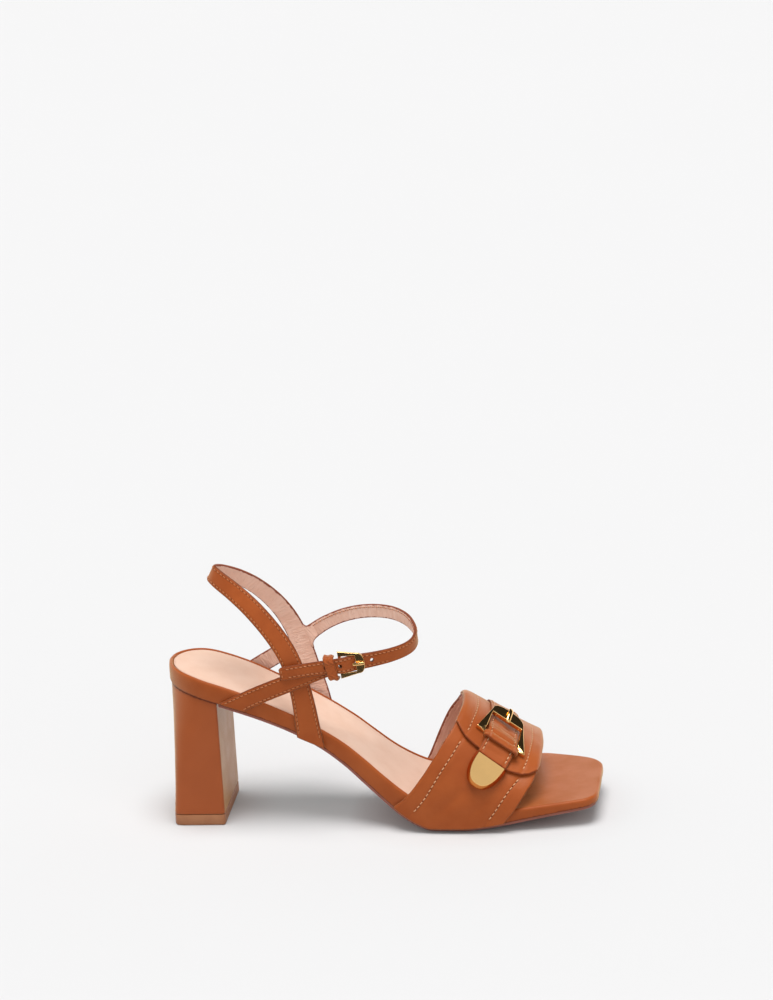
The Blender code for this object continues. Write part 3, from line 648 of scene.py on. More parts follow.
# The vamp's lining is a darker, redder copy of the strap lining: painted shade, with painted warm light
# thrown back by the tan leather
SHADED_LINING = (0.780, 0.490, 0.385)
SHADED_LINING_DEEP = (0.700, 0.410, 0.310)
LINING_EDGE = (0.215, 0.048, 0.019)
FOLDED_EDGE = (0.240, 0.045, 0.011)
THREAD = (0.720, 0.390, 0.205)
# Near-black colour of the tubes between stitches: painted shade of the needle holes
NEEDLE_SHADE = (0.110, 0.022, 0.009)
STITCH = {"pitch": 2.75, "length": 2.0, "radius": 0.28}

# Top line of the vamp's arch by length
CREST = table("x z", [
    (112.0, 79.0),
    (130.0, 72.5),
    (145.0, 66.0),
    (156.0, 60.0),
    (165.0, 53.3),
    (175.0, 46.0),
    (185.0, 39.0),
    (195.0, 33.3),
    (206.0, 28.8),
])

# Back and front edge of the vamp by share of the arch from its outer to its inner end
VAMP = table("share back front", [
    (0.00, 119.3, 178.0),
    (0.05, 126.8, 183.8),
    (0.14, 137.5, 189.6),
    (0.23, 146.2, 193.8),
    (0.35, 153.6, 196.2),
    (0.47, 156.0, 196.6),
    (0.58, 154.2, 195.0),
    (0.70, 150.0, 192.6),
    (0.79, 143.6, 191.0),
    (0.87, 137.6, 188.4),
    (0.94, 132.2, 184.6),
    (1.00, 126.0, 181.0),
])

# Soft troughs in the vamp: from and to, each by share of the arch and of its length, width and depth
VAMP_CREASES = table("share length end_share end_length width depth", [
    (0.02, 0.30, 0.12, 0.46, 2.6, 0.30),
    (0.03, 0.62, 0.13, 0.74, 2.2, 0.22),
    (0.10, 0.18, 0.22, 0.24, 1.8, 0.16),
    (0.16, 0.90, 0.25, 0.84, 1.8, 0.16),
    (0.86, 0.30, 0.96, 0.44, 2.6, 0.28),
    (0.84, 0.72, 0.95, 0.66, 2.2, 0.22),
])


def arch(x, share):
    """Superellipse over the board from its outer to its inner edge.

    It is x, half width times a power of the cosine, and height times the same power of the sine of the
    share's half turn.
    """
    clear = WALL + 2 * GAP
    outer = outer_edge(x) + clear
    inner = inner_edge(x) + clear
    base = board_bottom(x)
    height = curve(CREST, "z", x, "x") - base
    angle = np.pi * share
    run = np.abs(np.cos(angle)) ** (2 / ARCH_POWER) * np.sign(np.cos(angle))
    rise = np.sin(angle) ** (2 / ARCH_POWER)
    return np.stack((x, (inner - outer) / 2 - (inner + outer) / 2 * run, base + height * rise), -1)


def vamp_face(share, length):
    """Vamp's outer face by share of the arch and share of the way from its back to its front edge."""
    share = np.clip(share, 0.0001, 0.9999)
    back = curve(VAMP, "back", share, "share")
    front = curve(VAMP, "front", share, "share")
    return arch(back + (front - back) * length, share)


def vamp_point(share, length, height):
    """Point at a height over the vamp: its face plus the height along the cross product of its two runs."""
    step = 0.004
    inside = np.clip(share, step, 1 - step)
    rise = vamp_face(inside + step, length) - vamp_face(inside - step, length)
    run = vamp_face(inside, length + step) - vamp_face(inside, length - step)
    return vamp_face(share, length) + np.asarray(height)[..., None] * unit(np.cross(run, rise))


def edged(length, step, radius):
    """Places from 0 to length: even steps, and steps of a quarter circle within the radius of both ends."""
    bend = radius * (1 - np.cos(np.radians((0, 20, 42, 66))))
    flat = np.linspace(radius, length - radius, max(2, round((length - 2 * radius) / step) + 1))
    return np.concatenate((bend, flat, length - bend[::-1])) / length


def walked_along(grid, axis):
    """Distance of each grid point from the start of its column or row, along the grid."""
    steps = np.linalg.norm(np.diff(grid, axis=axis), axis=-1)
    start = np.zeros_like(np.take(steps, [0], axis))
    return np.concatenate((start, np.cumsum(steps, axis)), axis)


def at_distance(places, walked, values):
    """Values along a line at these distances from its start, in straight steps between its points."""
    return np.stack([np.interp(places, walked, column) for column in values.T], -1)


def border_distance(grid):
    """Distance of each grid point from the nearest end of its column and of its row, along the grid."""
    both = [walked_along(grid, axis) for axis in (0, 1)]
    return [np.minimum(way, np.take(way, [-1], axis) - way) for axis, way in enumerate(both)]


def grid_normals(grid):
    """Unit cross product of a grid's differences along its columns and along its rows."""
    return unit(np.cross(np.gradient(grid, axis=1), np.gradient(grid, axis=0)))


def pillow(middle, thickness, over=0.0):
    """Closed sheet round a grid of middle points, for new_piece: points, quads, rim distance, sides and way.

    Half the thickness shrinks to nothing at the border as a quarter circle, so the edge is round. over adds
    relief to the outer face, where the sheet has its full thickness.
    """
    normals = grid_normals(middle)
    radius = thickness / 2
    along, across = border_distance(middle)
    first, second = (np.clip(1 - distance / radius, 0, 1) for distance in (along, across))
    full = np.sqrt(np.clip(1 - first ** 2 - second ** 2, 0, 1))
    full[[0, -1], :] = 0
    full[:, [0, -1]] = 0
    top = middle + normals * (full * (radius + over))[..., None]
    bottom = middle - normals * (full * radius)[..., None]
    rows, columns = full.shape
    number = np.arange(rows * columns).reshape(rows, columns)
    below = number.copy()
    inside = (rows - 2) * (columns - 2)
    below[1:-1, 1:-1] = rows * columns + np.arange(inside).reshape(rows - 2, columns - 2)
    points = np.vstack((top.reshape(-1, 3), bottom[1:-1, 1:-1].reshape(-1, 3)))
    near = np.minimum(along, across)
    rim = np.concatenate((near.reshape(-1), near[1:-1, 1:-1].reshape(-1)))
    length = np.broadcast_to(walked_along(middle, 0).mean(1, keepdims=True), near.shape)
    travel = np.stack((length, walked_along(middle, 1), 0 * near), -1)
    way = np.vstack((travel.reshape(-1, 3), travel[1:-1, 1:-1].reshape(-1, 3)))
    upper = grid_quads(number)
    lower = grid_quads(below)[:, ::-1]
    faces = np.concatenate((np.zeros(len(upper)), np.ones(len(lower))))
    return (points, np.vstack((upper, lower))), rim, faces, way


def new_sheet(name, sheet, materials, node=None):
    """Piece from a pillow: its outer face in the first material, its inner face in the second."""
    shape, rim, faces, way = sheet
    return new_piece(name, shape, materials, node, rim, faces, way)


def trough(distance, width, depth):
    """Soft groove: minus the depth times a bell curve of the distance over the width."""
    return -depth * np.exp(-(distance / width) ** 2)


def creases(share, length, rows, share_size, length_size):
    """Relief of listed creases: for each row a groove along a line, with low ridges on both sides."""
    total = np.zeros_like(share)
    for row in range(len(rows["share"])):
        start = np.array((rows["share"][row] * share_size, rows["length"][row] * length_size))
        end = np.array((rows["end_share"][row] * share_size, rows["end_length"][row] * length_size))
        line = end - start
        point = np.stack((share * share_size, length * length_size), -1) - start
        part = np.clip((point @ line) / (line @ line), 0, 1)
        away = np.linalg.norm(point - part[..., None] * line, axis=-1)
        fade = 1 - (2 * part - 1) ** 4
        width = rows["width"][row]
        ridge = -RIDGE_HEIGHT * trough(away - RIDGE_PLACE * width, width, 1)
        total += rows["depth"][row] * fade * (trough(away, width, 1) + ridge)
    return total


def stitches(lines, pitch, length, radius, between=False):
    """Row of stitches along each line of points and normals, as tubes that dip into the leather.

    Along a stitch the tube's radius is the fourth root form of its share of length, and its middle rises
    with the radius. Each stitch leans a little across the seam. between gives tubes in the gaps, which lie
    lower; new_seam makes them dark as painted shade of the needle holes.
    """
    points = []
    lean = 0.9
    rise = 1.15
    sink = 1.25 if between else 0.75
    share = np.linspace(0, 1, 7)
    swell = np.sqrt(np.sqrt(np.clip(1 - (2 * share - 1) ** 4, 0, 1)))
    turn = np.linspace(0, 2 * np.pi, 7)[:-1]
    for line, normal in lines:
        walked = walked_along(line, 0)
        count = max(1, int((walked[-1] - length) // pitch) + 1)
        start = (walked[-1] - (count - 1) * pitch - length) / 2 + pitch * np.arange(count)
        if between:
            place = start[:-1, None] + length + share * (pitch - length)
        else:
            place = start[:, None] + share * length
        middle = at_distance(place, walked, line)
        up = unit(at_distance(place, walked, normal))
        side = unit(np.cross(np.gradient(middle, axis=1), up))
        middle = middle + side * ((share - 0.5) * radius * lean)[:, None]
        middle = middle + up * (radius * (rise * swell - sink))[:, None]
        ring = np.cos(turn)[:, None] * side[:, :, None] + np.sin(turn)[:, None] * up[:, :, None]
        points.append(middle[:, :, None] + radius * swell[:, None, None] * ring)
    points = np.concatenate(points)
    count, long, around = points.shape[:3]
    one = grid_quads(np.arange(long * around).reshape(long, around), closed=True)
    quads = one[None] + (np.arange(count) * long * around)[:, None, None]
    return points.reshape(-1, 3), quads.reshape(-1, 4)


def thread_material(name, tone):
    """Waxed sewing thread: strands twisted round each other, as bands of a fine wave, the grooves between
    them painted darker as shade.
    """
    material, tree, shader, place = new_material(name, {"Specular IOR Level": 0.4, "Roughness": 0.5})
    twist = add(tree, "ShaderNodeTexWave", {
        "Vector": place,
        "Scale": 620.0,
        "Distortion": 2.0,
        "Detail": 2.0,
    })
    # Painted shade: the wave's low bands, the grooves between strands, are darker
    dark = tuple(value * 0.72 for value in tone)
    tree.links.new(mixed(tree, twist.outputs["Fac"], (*dark, 1), (*tone, 1)), shader.inputs["Base Color"])
    bumped(tree, shader, twist.outputs["Fac"], 0.4, 0.06)
    return material


def lining_material(name, pale, deep):
    """Thin lining leather: rosy clouds, with crinkles from a noise that is drawn out across the piece, their
    hollows painted towards the deep tone as shade.
    """
    material, tree, shader, place = new_material(name, {"Specular IOR Level": 0.3})
    way = add(tree, "ShaderNodeAttribute", attribute_name="way").outputs["Vector"]
    stretch = add(tree, "ShaderNodeMapping", {"Vector": way, "Scale": (1.0, 0.2, 1.0)})
    crinkle = add(tree, "ShaderNodeTexNoise", {
        "Vector": stretch.outputs[0],
        "Scale": 0.7,
        "Detail": 3.0,
        "Roughness": 0.55,
        "Distortion": 0.4,
    })
    clouds = add(tree, "ShaderNodeGroup", node_tree=speckle)
    edge_mask = add(tree, "ShaderNodeGroup", node_tree=edge_paint_and_shade_mask)
    for group in (clouds, edge_mask):
        tree.links.new(place, group.inputs["Vector"])
    edge_mask.inputs["Reach"].default_value = 0.85
    tone = ranged(tree, clouds.outputs["Broad"], 0.3, 0.7, 0.0, 1.0)
    skin = mixed(tree, tone, (*pale, 1), (*deep, 1))
    # Painted shade: the crinkles' hollows, low in the noise that also makes the bump, take the deep tone
    fold = ranged(tree, crinkle.outputs["Fac"], 0.36, 0.50, 0.8, 0.0)
    crinkle_shaded = mixed(tree, fold, skin, (*deep, 1))
    colour = mixed(tree, edge_mask.outputs["Mask"], crinkle_shaded, (*LINING_EDGE, 1))
    tree.links.new(colour, shader.inputs["Base Color"])
    gloss = ranged(tree, crinkle.outputs["Fac"], 0.3, 0.7, 0.5, 0.66)
    tree.links.new(gloss, shader.inputs["Roughness"])
    bumped(tree, shader, crinkle.outputs["Fac"], 0.9, 0.9)
    return material


def new_seam(name, lines, thread, sizes):
    """Seam along lines of points and normals: its stitches, and dark tubes between them as painted shade of
    the needle holes.
    """
    new_piece(name + "_stitches", stitches(lines, **sizes), [thread])
    new_piece(name + "_needle_shade", stitches(lines, **sizes, between=True), [needle_hole_shade])


# Painted shade: the vamp's lining takes the darker, redder copy of the lining colours
shaded_vamp_lining = lining_material("shaded_vamp_lining", SHADED_LINING, SHADED_LINING_DEEP)
peach_thread = thread_material("peach_thread", THREAD)
needle_hole_shade = leather("needle_hole_shade", NEEDLE_SHADE, NEEDLE_SHADE)
folded_leather = leather("folded_leather", TAN, TAN_DEEP, FOLDED_EDGE)
upper_finish = [folded_leather, shaded_vamp_lining]

arch_shares = np.linspace(0, 1, 600)
arch_line = vamp_face(arch_shares, np.full_like(arch_shares, 0.5))
arch_walked = walked_along(arch_line, 0)
ARCH_LENGTH = arch_walked[-1]


def vamp_grid(step):
    """Shares of arch and length on a grid whose rows are even along the arch's own length."""
    share = np.interp(edged(ARCH_LENGTH, step, WALL / 2) * ARCH_LENGTH, arch_walked, arch_shares)
    return np.meshgrid(share, edged(VAMP_WIDTH, step, WALL / 2), indexing="ij")


def edge_length(share, inset):
    """Share of the vamp's length at a distance from its back edge, or from its front edge if negative."""
    share = np.asarray(share, float)
    chord = vamp_face(share, np.ones_like(share)) - vamp_face(share, np.zeros_like(share))
    part = inset / np.linalg.norm(chord, axis=-1)
    return np.where(part >= 0, part, 1 + part)


def back_seam(share):
    """Distance of the back seam from the vamp's back edge."""
    return SEAM_INSET + 0 * share


def front_seam(share):
    """Distance of the front seam from the vamp's front edge, as a negative number: it grows near the sole."""
    low = ramp(np.minimum(share, 1 - share), SEAM_FLARE_TOP, -SEAM_FLARE_RUN)
    return -SEAM_INSET - SEAM_FLARE * low


def seam_grooves(share, length, depth):
    """Relief of the grooves under the back and front seam: troughs of the distance from each of the two."""
    relief = 0
    for inset in (back_seam, front_seam):
        away = edge_length(share, inset(share)) - length
        relief = relief + trough(away * VAMP_WIDTH, SEAM_GROOVE, depth)
    return relief


def vamp_seam(start, end, inset, height):
    """Line of points and normals for stitches along the vamp, at a distance from its back or front edge."""
    share = np.linspace(start, end, 200)
    length = edge_length(share, inset(share))
    level = np.full_like(share, height)
    line = vamp_point(share, length, level)
    return line, unit(vamp_point(share, length, level + 1) - line)


share_grid, length_grid = vamp_grid(0.6)
middle = vamp_point(share_grid, length_grid, np.full_like(share_grid, -WALL / 2))
vamp_relief = creases(share_grid, length_grid, VAMP_CREASES, ARCH_LENGTH, VAMP_WIDTH)
vamp_relief = vamp_relief + seam_grooves(share_grid, length_grid, 0.22)
*vamp_sheet, way = pillow(middle, WALL, over=vamp_relief)
# The crinkles of this lining run along the arch, so along and across change places
vamp_sheet.append(way[:, (1, 0, 2)])
new_sheet("vamp_band_leather", vamp_sheet, upper_finish, "vamp_band")

# Vamp overlay
# A second layer of tan leather over the top of the vamp, with rounded ends that stop short of the sole on
# both sides. It is sewn down through the same two seams, which hold its edges to the band.

OVERLAY_THICKNESS = 1.4
OVERLAY_TOP = GAP + OVERLAY_THICKNESS
OVERLAY_CROWN = 0.25
CROWN_REACH = 2.5
BAND_SEAM = -0.12
OVERLAY_SEAM = OVERLAY_TOP - 0.04
SEAM_MARGIN = 0.02
OUTSIDE_STOP = 0.012
INSIDE_STOP = 0.022

# Width and depth of the fall at its long edges, and at its two ends, of which the outer one stands proud
EDGE_FALL = (1.3, 1.1)
OUTER_END_FALL = (1.8, -0.55)
INNER_END_FALL = (1.8, 0.4)

# How far down the outer side the overlay's end reaches, by share of its length from back to front
OVERLAY_END = table("length share", [
    (0.00, 0.345),
    (0.07, 0.318),
    (0.20, 0.288),
    (0.35, 0.272),
    (0.50, 0.250),
    (0.72, 0.226),
    (0.84, 0.228),
    (0.93, 0.244),
    (1.00, 0.286),
])


def overlay_end(length):
    """Share of the arch where the overlay ends on the outer side."""
    return curve(OVERLAY_END, "share", length, "length")


long_places = edged(ARCH_LENGTH / 2, 0.6, OVERLAY_THICKNESS / 2)
wide_places = edged(VAMP_WIDTH, 0.6, OVERLAY_THICKNESS / 2)
way_grid, length_grid = np.meshgrid(long_places, wide_places, indexing="ij")
share_grid = overlay_end(length_grid) + (1 - 2 * overlay_end(length_grid)) * way_grid
level = np.full_like(share_grid, GAP + OVERLAY_THICKNESS / 2)
from_end, from_edge = border_distance(vamp_point(share_grid, length_grid, level))
end_fall = np.where(way_grid < 0.5, trough(from_end, *OUTER_END_FALL), trough(from_end, *INNER_END_FALL))
level = level + trough(from_edge, *EDGE_FALL) + end_fall
middle = vamp_point(share_grid, length_grid, level)
overlay_relief = OVERLAY_CROWN * (1 - np.exp(-np.minimum(*border_distance(middle)) / CROWN_REACH))
overlay_relief = overlay_relief + seam_grooves(share_grid, length_grid, 0.3)
overlay_sheet = pillow(middle, OVERLAY_THICKNESS, over=overlay_relief)
new_sheet("vamp_overlay_leather", overlay_sheet, upper_finish, "vamp_overlay")

back_end = overlay_end(SEAM_INSET / VAMP_WIDTH)
front_end = overlay_end(1 - SEAM_INSET / VAMP_WIDTH)
seam_lines = []
for inset, end in ((back_seam, back_end), (front_seam, front_end)):
    seam_lines.append(vamp_seam(SEAM_MARGIN, end - OUTSIDE_STOP, inset, BAND_SEAM))
    seam_lines.append(vamp_seam(end + INSIDE_STOP, 1 - INSIDE_STOP - end, inset, OVERLAY_SEAM))
    seam_lines.append(vamp_seam(1 + OUTSIDE_STOP - end, 1 - SEAM_MARGIN, inset, BAND_SEAM))
new_seam("vamp", seam_lines, peach_thread, STITCH)

# Vamp strap
# A strap of folded tan leather across the overlay, sewn along both edges. It climbs over the buckle's bar,
# ends under a metal tip on the outer side, and is lasted in under the board on the inner side.

VAMP_STRAP_WIDTH = 17.5
VAMP_STRAP_THICKNESS = 1.6
VAMP_STRAP_ENDS = (0.2400, 0.975)
STRAP_LENGTH = 92.0
STRAP_SEAM = 1.8
STRAP_GROOVE = (0.65, 0.2)
STRAP_CROWN = 0.12
STRAP_PRESS = {"depth": 0.5, "start": 0.385, "rise": 0.04, "end": 0.70, "fall": 0.06}

# Strap by share of the arch: its middle by share of the vamp's length, how far its front side lags behind
# per millimetre of width, and its height over the vamp
STRAP_LINE = table("share place skew height", [
    (0.120, 0.505, 0.0020, 2.0),
    (0.230, 0.519, 0.0020, 2.0),
    (0.262, 0.517, 0.0018, 2.3),
    (0.300, 0.512, 0.0015, 3.4),
    (0.328, 0.507, 0.0012, 4.5),
    (0.353, 0.502, 0.0011, 4.5),
    (0.377, 0.498, 0.0012, 3.3),
    (0.410, 0.493, 0.0013, 2.0),
    (0.500, 0.486, 0.0012, 2.0),
    (0.640, 0.490, 0.0005, 2.0),
    (0.790, 0.500, 0.0, 2.0),
    (0.845, 0.500, 0.0, 0.5),
    (1.000, 0.500, 0.0, 0.5),
])

# Soft troughs across the strap, by share of its length and of its width, where it bends at the bar
STRAP_CREASES = table("share length end_share end_length width depth", [
    (0.035, 0.10, 0.045, 0.90, 1.1, 0.16),
    (0.085, 0.05, 0.080, 0.60, 1.0, 0.18),
    (0.200, 0.30, 0.205, 0.95, 1.2, 0.18),
    (0.240, 0.06, 0.235, 0.75, 1.4, 0.16),
    (0.560, 0.10, 0.545, 0.80, 2.4, 0.16),
    (0.700, 0.20, 0.715, 0.90, 2.4, 0.14),
])


def strap_point(share, side, height):
    """Point beside the strap's middle line.

    Side over the vamp's width is added to its place along the vamp, and skew times side taken off its share.
    """
    share = np.asarray(share, float)
    place = curve(STRAP_LINE, "place", share, "share")
    skew = curve(STRAP_LINE, "skew", share, "share")
    ends = vamp_face(share, np.ones_like(share)) - vamp_face(share, np.zeros_like(share))
    return vamp_point(share - skew * side, place + side / np.linalg.norm(ends, axis=-1), height)


def strap_low(share):
    """Height of the strap's underside over the vamp."""
    return curve(STRAP_LINE, "height", share, "share")


def even_shares(start, end, places):
    """Shares of the arch whose distances along the strap are these shares of its length."""
    share = np.linspace(start, end, 600)
    line = strap_point(share, 0 * share, strap_low(share))
    walked = walked_along(line, 0)
    return np.interp(places * walked[-1], walked, share)


def strap_press(share):
    """How far the strap is pressed thinner over the crest: a step up and a step down along its share."""
    up = ramp(share, STRAP_PRESS["start"], STRAP_PRESS["rise"])
    down = ramp(share, STRAP_PRESS["end"], -STRAP_PRESS["fall"])
    return STRAP_PRESS["depth"] * up * down


strap_places = edged(STRAP_LENGTH, 0.5, VAMP_STRAP_THICKNESS / 2)
side_places = edged(VAMP_STRAP_WIDTH, 0.5, VAMP_STRAP_THICKNESS / 2)
way_grid, side_grid = np.meshgrid(strap_places, side_places, indexing="ij")
share_grid = even_shares(*VAMP_STRAP_ENDS, way_grid)
level = strap_low(share_grid) + VAMP_STRAP_THICKNESS / 2
middle = strap_point(share_grid, (side_grid - 0.5) * VAMP_STRAP_WIDTH, level)
from_edge = (0.5 - np.abs(side_grid - 0.5)) * VAMP_STRAP_WIDTH
strap_relief = trough(from_edge - STRAP_SEAM, *STRAP_GROOVE) + STRAP_CROWN * (1 - (2 * side_grid - 1) ** 4)
strap_relief = strap_relief + creases(way_grid, side_grid, STRAP_CREASES, STRAP_LENGTH, VAMP_STRAP_WIDTH)
strap_sheet = pillow(middle, VAMP_STRAP_THICKNESS, over=strap_relief - strap_press(share_grid))
new_sheet("vamp_strap_leather", strap_sheet, upper_finish, "vamp_strap")

seam_lines = []
share = even_shares(VAMP_STRAP_ENDS[0] + 0.01, VAMP_STRAP_ENDS[1] - 0.01, np.linspace(0, 1, 300))
level = strap_low(share) + VAMP_STRAP_THICKNESS - strap_press(share) - 0.06
for side in (STRAP_SEAM - VAMP_STRAP_WIDTH / 2, VAMP_STRAP_WIDTH / 2 - STRAP_SEAM):
    line = strap_point(share, side + 0 * share, level)
    seam_lines.append((line, unit(strap_point(share, side + 0 * share, level + 1) - line)))
new_seam("vamp_strap", seam_lines, peach_thread, STITCH)

# Vamp keeper
# A roll of thin tan leather round the strap, right below the buckle's bar. Its lower edge is proud, its upper
# side runs down into the strap, and fine wrinkles run into the sharp bends over the strap's edges.

VAMP_KEEPER_ENDS = (0.300, 0.339)
KEEPER_THICKNESS = 1.2
KEEPER_WIDTH = 5.0
KEEPER_STEP = 0.3
KEEPER_BEND = 1.7
KEEPER_FOOT = 4.35
KEEPER_ROOF = 7.0
KEEPER_FALL = 0.62
KEEPER_FALL_START = 0.4
KEEPER_CROWN = 0.2
RIPPLE = 0.04
BEND_RIPPLE = 0.24


def eased(value, start, run):
    """Ramp with soft ends: three times the square of its share minus twice the cube."""
    part = ramp(value, start, run)
    return part ** 2 * (3 - 2 * part)


def keeper_path(half, foot, roof):
    """Side and height of a keeper's middle line: up from one foot, round a quarter circle, across, down."""
    turn = np.radians(np.linspace(0, 90, 7))
    arc = np.column_stack((half - KEEPER_BEND * (1 - np.cos(turn)), roof - KEEPER_BEND * (1 - np.sin(turn))))
    way = np.vstack(([(half, foot)], arc))
    way = np.vstack((way * (-1, 1), way[::-1]))
    walked = walked_along(way, 0)
    places = edged(walked[-1], KEEPER_STEP, KEEPER_THICKNESS / 2) * walked[-1]
    return at_distance(places, walked, way)


def keeper_wrinkles(side, along, half):
    """Relief of a keeper: ripples along its width that grow towards its bends, and a soft crown."""
    bend = np.exp(-((np.abs(side) - half + 1.2) / 2.6) ** 2)
    ripple = np.sin(11.0 * along + 1.3 * side + 2.1 * np.sin(1.7 * side))
    return BEND_RIPPLE * ripple * bend + RIPPLE * ripple + KEEPER_CROWN * (1 - (2 * along - 1) ** 4)


keeper_half = VAMP_STRAP_WIDTH / 2 + GAP + KEEPER_THICKNESS / 2
path = keeper_path(keeper_half, KEEPER_FOOT, KEEPER_ROOF)
along = edged(KEEPER_WIDTH, KEEPER_STEP, KEEPER_THICKNESS / 2)
side_grid, along_grid = np.meshgrid(path[:, 0], along, indexing="ij")
fall = 1 - KEEPER_FALL * eased(along_grid, KEEPER_FALL_START, 1 - KEEPER_FALL_START)
height_grid = KEEPER_FOOT + (path[:, 1:] - KEEPER_FOOT) * fall
share_grid = VAMP_KEEPER_ENDS[0] + (VAMP_KEEPER_ENDS[1] - VAMP_KEEPER_ENDS[0]) * along_grid
middle = strap_point(share_grid, side_grid, height_grid)[:, ::-1]
keeper_relief = keeper_wrinkles(side_grid, along_grid, keeper_half)[:, ::-1]
keeper_sheet = pillow(middle, KEEPER_THICKNESS, over=keeper_relief)
new_sheet("vamp_keeper_leather", keeper_sheet, [folded_leather] * 2, "vamp_keeper")

# Vamp buckle
# A half-round frame of polished gold metal with a bevelled edge, and a prong that rests on its bow. The bar
# lies on the overlay under the strap, and the bow stands off over it.

BUCKLE_ENDS = (0.3405, 0.480)
BUCKLE_END_LIFT = 4.8
BUCKLE_BOW = 0.85
VAMP_BUCKLE = {
    "half_base": 14.8, "shoulder": 9.4, "bow": 4.5, "half_window": 9.6, "taper": 0.7, "bar": 2.0, "end": 7.0,
    "thickness": 1.6, "swell": 1.0, "lean": 0.16, "soft": 0.5,
}
VAMP_PRONG = {"reach": 9.6, "width": 2.6, "thickness": 1.6, "arch": 0.9, "dip": 1.2}
BASE_SWELL = (0.72, 0.16)
WINDOW_SWELL = 0.12
FLAT_MARGIN = 0.1
PRONG_ROUND = 0.45
PRONG_POWER = 0.8
PRONG_BELLY = 0.35
# Distances from the tip's edge over which the painted reflection on the chamfer fades out
RIM_REFLECTION_REACH = (1.4, 1.6)
GOLD = (0.90, 0.56, 0.22)
# Deep orange of the chamfered rim: painted reflection of the tan leather
GOLD_RIM_REFLECTION = (0.60, 0.21, 0.045)


def gold_material():
    """Polished plated metal: a clear gold with hair-fine polishing marks, deeper orange on a chamfered rim as
    a painted reflection of the tan leather.
    """
    material, tree, shader, place = new_material("polished_gold", {"Metallic": 1.0})
    clouds = add(tree, "ShaderNodeGroup", node_tree=speckle)
    clouds.inputs["Fine Scale"].default_value = 2600.0
    tree.links.new(place, clouds.inputs["Vector"])
    tone = ranged(tree, clouds.outputs["Broad"], 0.3, 0.7, 0.0, 1.0)
    deep = tuple(value * 0.93 for value in GOLD)
    plate = mixed(tree, tone, (*GOLD, 1), (*deep, 1))
    distance = add(tree, "ShaderNodeAttribute", attribute_name="rim").outputs["Fac"]
    colour = mixed(tree, ranged(tree, distance, *RIM_REFLECTION_REACH, 1.0, 0.0), plate, (*GOLD_RIM_REFLECTION, 1))
    tree.links.new(colour, shader.inputs["Base Color"])
    gloss = ranged(tree, clouds.outputs["Fine"], 0.3, 0.7, 0.09, 0.15)
    tree.links.new(gloss, shader.inputs["Roughness"])
    bumped(tree, shader, clouds.outputs["Fine"], 0.03, 0.05)
    return material


def buckle_outline(reach, sizes):
    """Outer line of a frame and the line of its window, point for point, and their heights on the top face.

    The window is a tapering rectangle met along rays of a half turn. The outer line leans straight in from
    the base to the shoulders, and a superellipse bow joins the shoulders. Beside and beyond the bar the top
    swells.
    """
    base = np.linspace(-1, 1, 61)
    turn = np.linspace(0, np.pi, 162)[1:-1]
    square = np.maximum(np.abs(np.cos(turn)), np.sin(turn))
    run = np.sin(turn) / square
    side = np.cos(turn) / square
    swing = np.clip(2 * turn - np.pi / 2, 0, np.pi)
    half, shoulder, bow = sizes["half_base"], sizes["shoulder"], sizes["bow"]
    flank = np.sign(side) * (half - (half - shoulder) * run)
    round_side = shoulder * np.sign(np.cos(swing)) * np.abs(np.cos(swing)) ** BUCKLE_BOW
    bow_side = np.where(run < 1, flank, round_side)
    bow_line = np.column_stack(((reach - bow) * run + bow * np.sin(swing) ** BUCKLE_BOW, bow_side))
    outer = np.vstack((np.column_stack((0 * base, half * base)), bow_line))
    bar, depth = sizes["bar"], reach - sizes["end"] - sizes["bar"]
    sill = np.column_stack((0 * base + bar, sizes["half_window"] * base))
    jamb = np.column_stack((bar + depth * run, (sizes["half_window"] - sizes["taper"] * run) * side))
    outer_rise = np.concatenate((ramp(np.abs(base), *BASE_SWELL), 0 * run + 1))
    window_rise = np.concatenate((0 * base, ramp(run, 0, WINDOW_SWELL)))
    top = [sizes["thickness"] / 2 + sizes["swell"] * rise for rise in (outer_rise, window_rise)]
    return outer, np.vstack((sill, jamb)), top


def numbered(points):
    """Numbers of a grid's points, row by row."""
    return np.arange(points.shape[0] * points.shape[1]).reshape(points.shape[:2])


def buckle_frame(name, node, origin, axes, reach, sizes):
    """Frame closed both ways: round it, and at each place a section with quarter circles at its corners.

    A row of points just inside the upper corners keeps the top face flat between them.
    """
    outer, window, top = buckle_outline(reach, sizes)
    span = np.linalg.norm(window - outer, axis=1)
    soft = sizes["soft"]
    turn = np.radians((0, 22, 45, 68, 90))[:, None]
    corners = np.vstack((soft * (1 - np.sin(turn)), soft * (1 - np.cos(turn)), [[soft + FLAT_MARGIN]]))
    depth = corners + 0 * span
    foot = soft * (1 - np.cos(turn)) - sizes["thickness"] / 2 + 0 * span
    walls = [np.vstack((foot, level - soft * (1 - np.sin(turn)), level)) for level in top]
    from_outer = np.vstack((depth, span - depth[::-1]))
    height = np.vstack((walls[0], walls[1][::-1]))
    flat = outer + from_outer[..., None] * (window - outer) / span[:, None]
    ahead_axis = axes[0] - sizes["lean"] * axes[1]
    points = origin + flat[..., :1] * ahead_axis + flat[..., 1:] * axes[1]
    points = points + height[..., None] * axes[2]
    number = numbered(points)
    quads = grid_quads(np.vstack((number, number[:1])), closed=True)
    new_piece(name, (points.reshape(-1, 3), quads), [polished_gold], node)


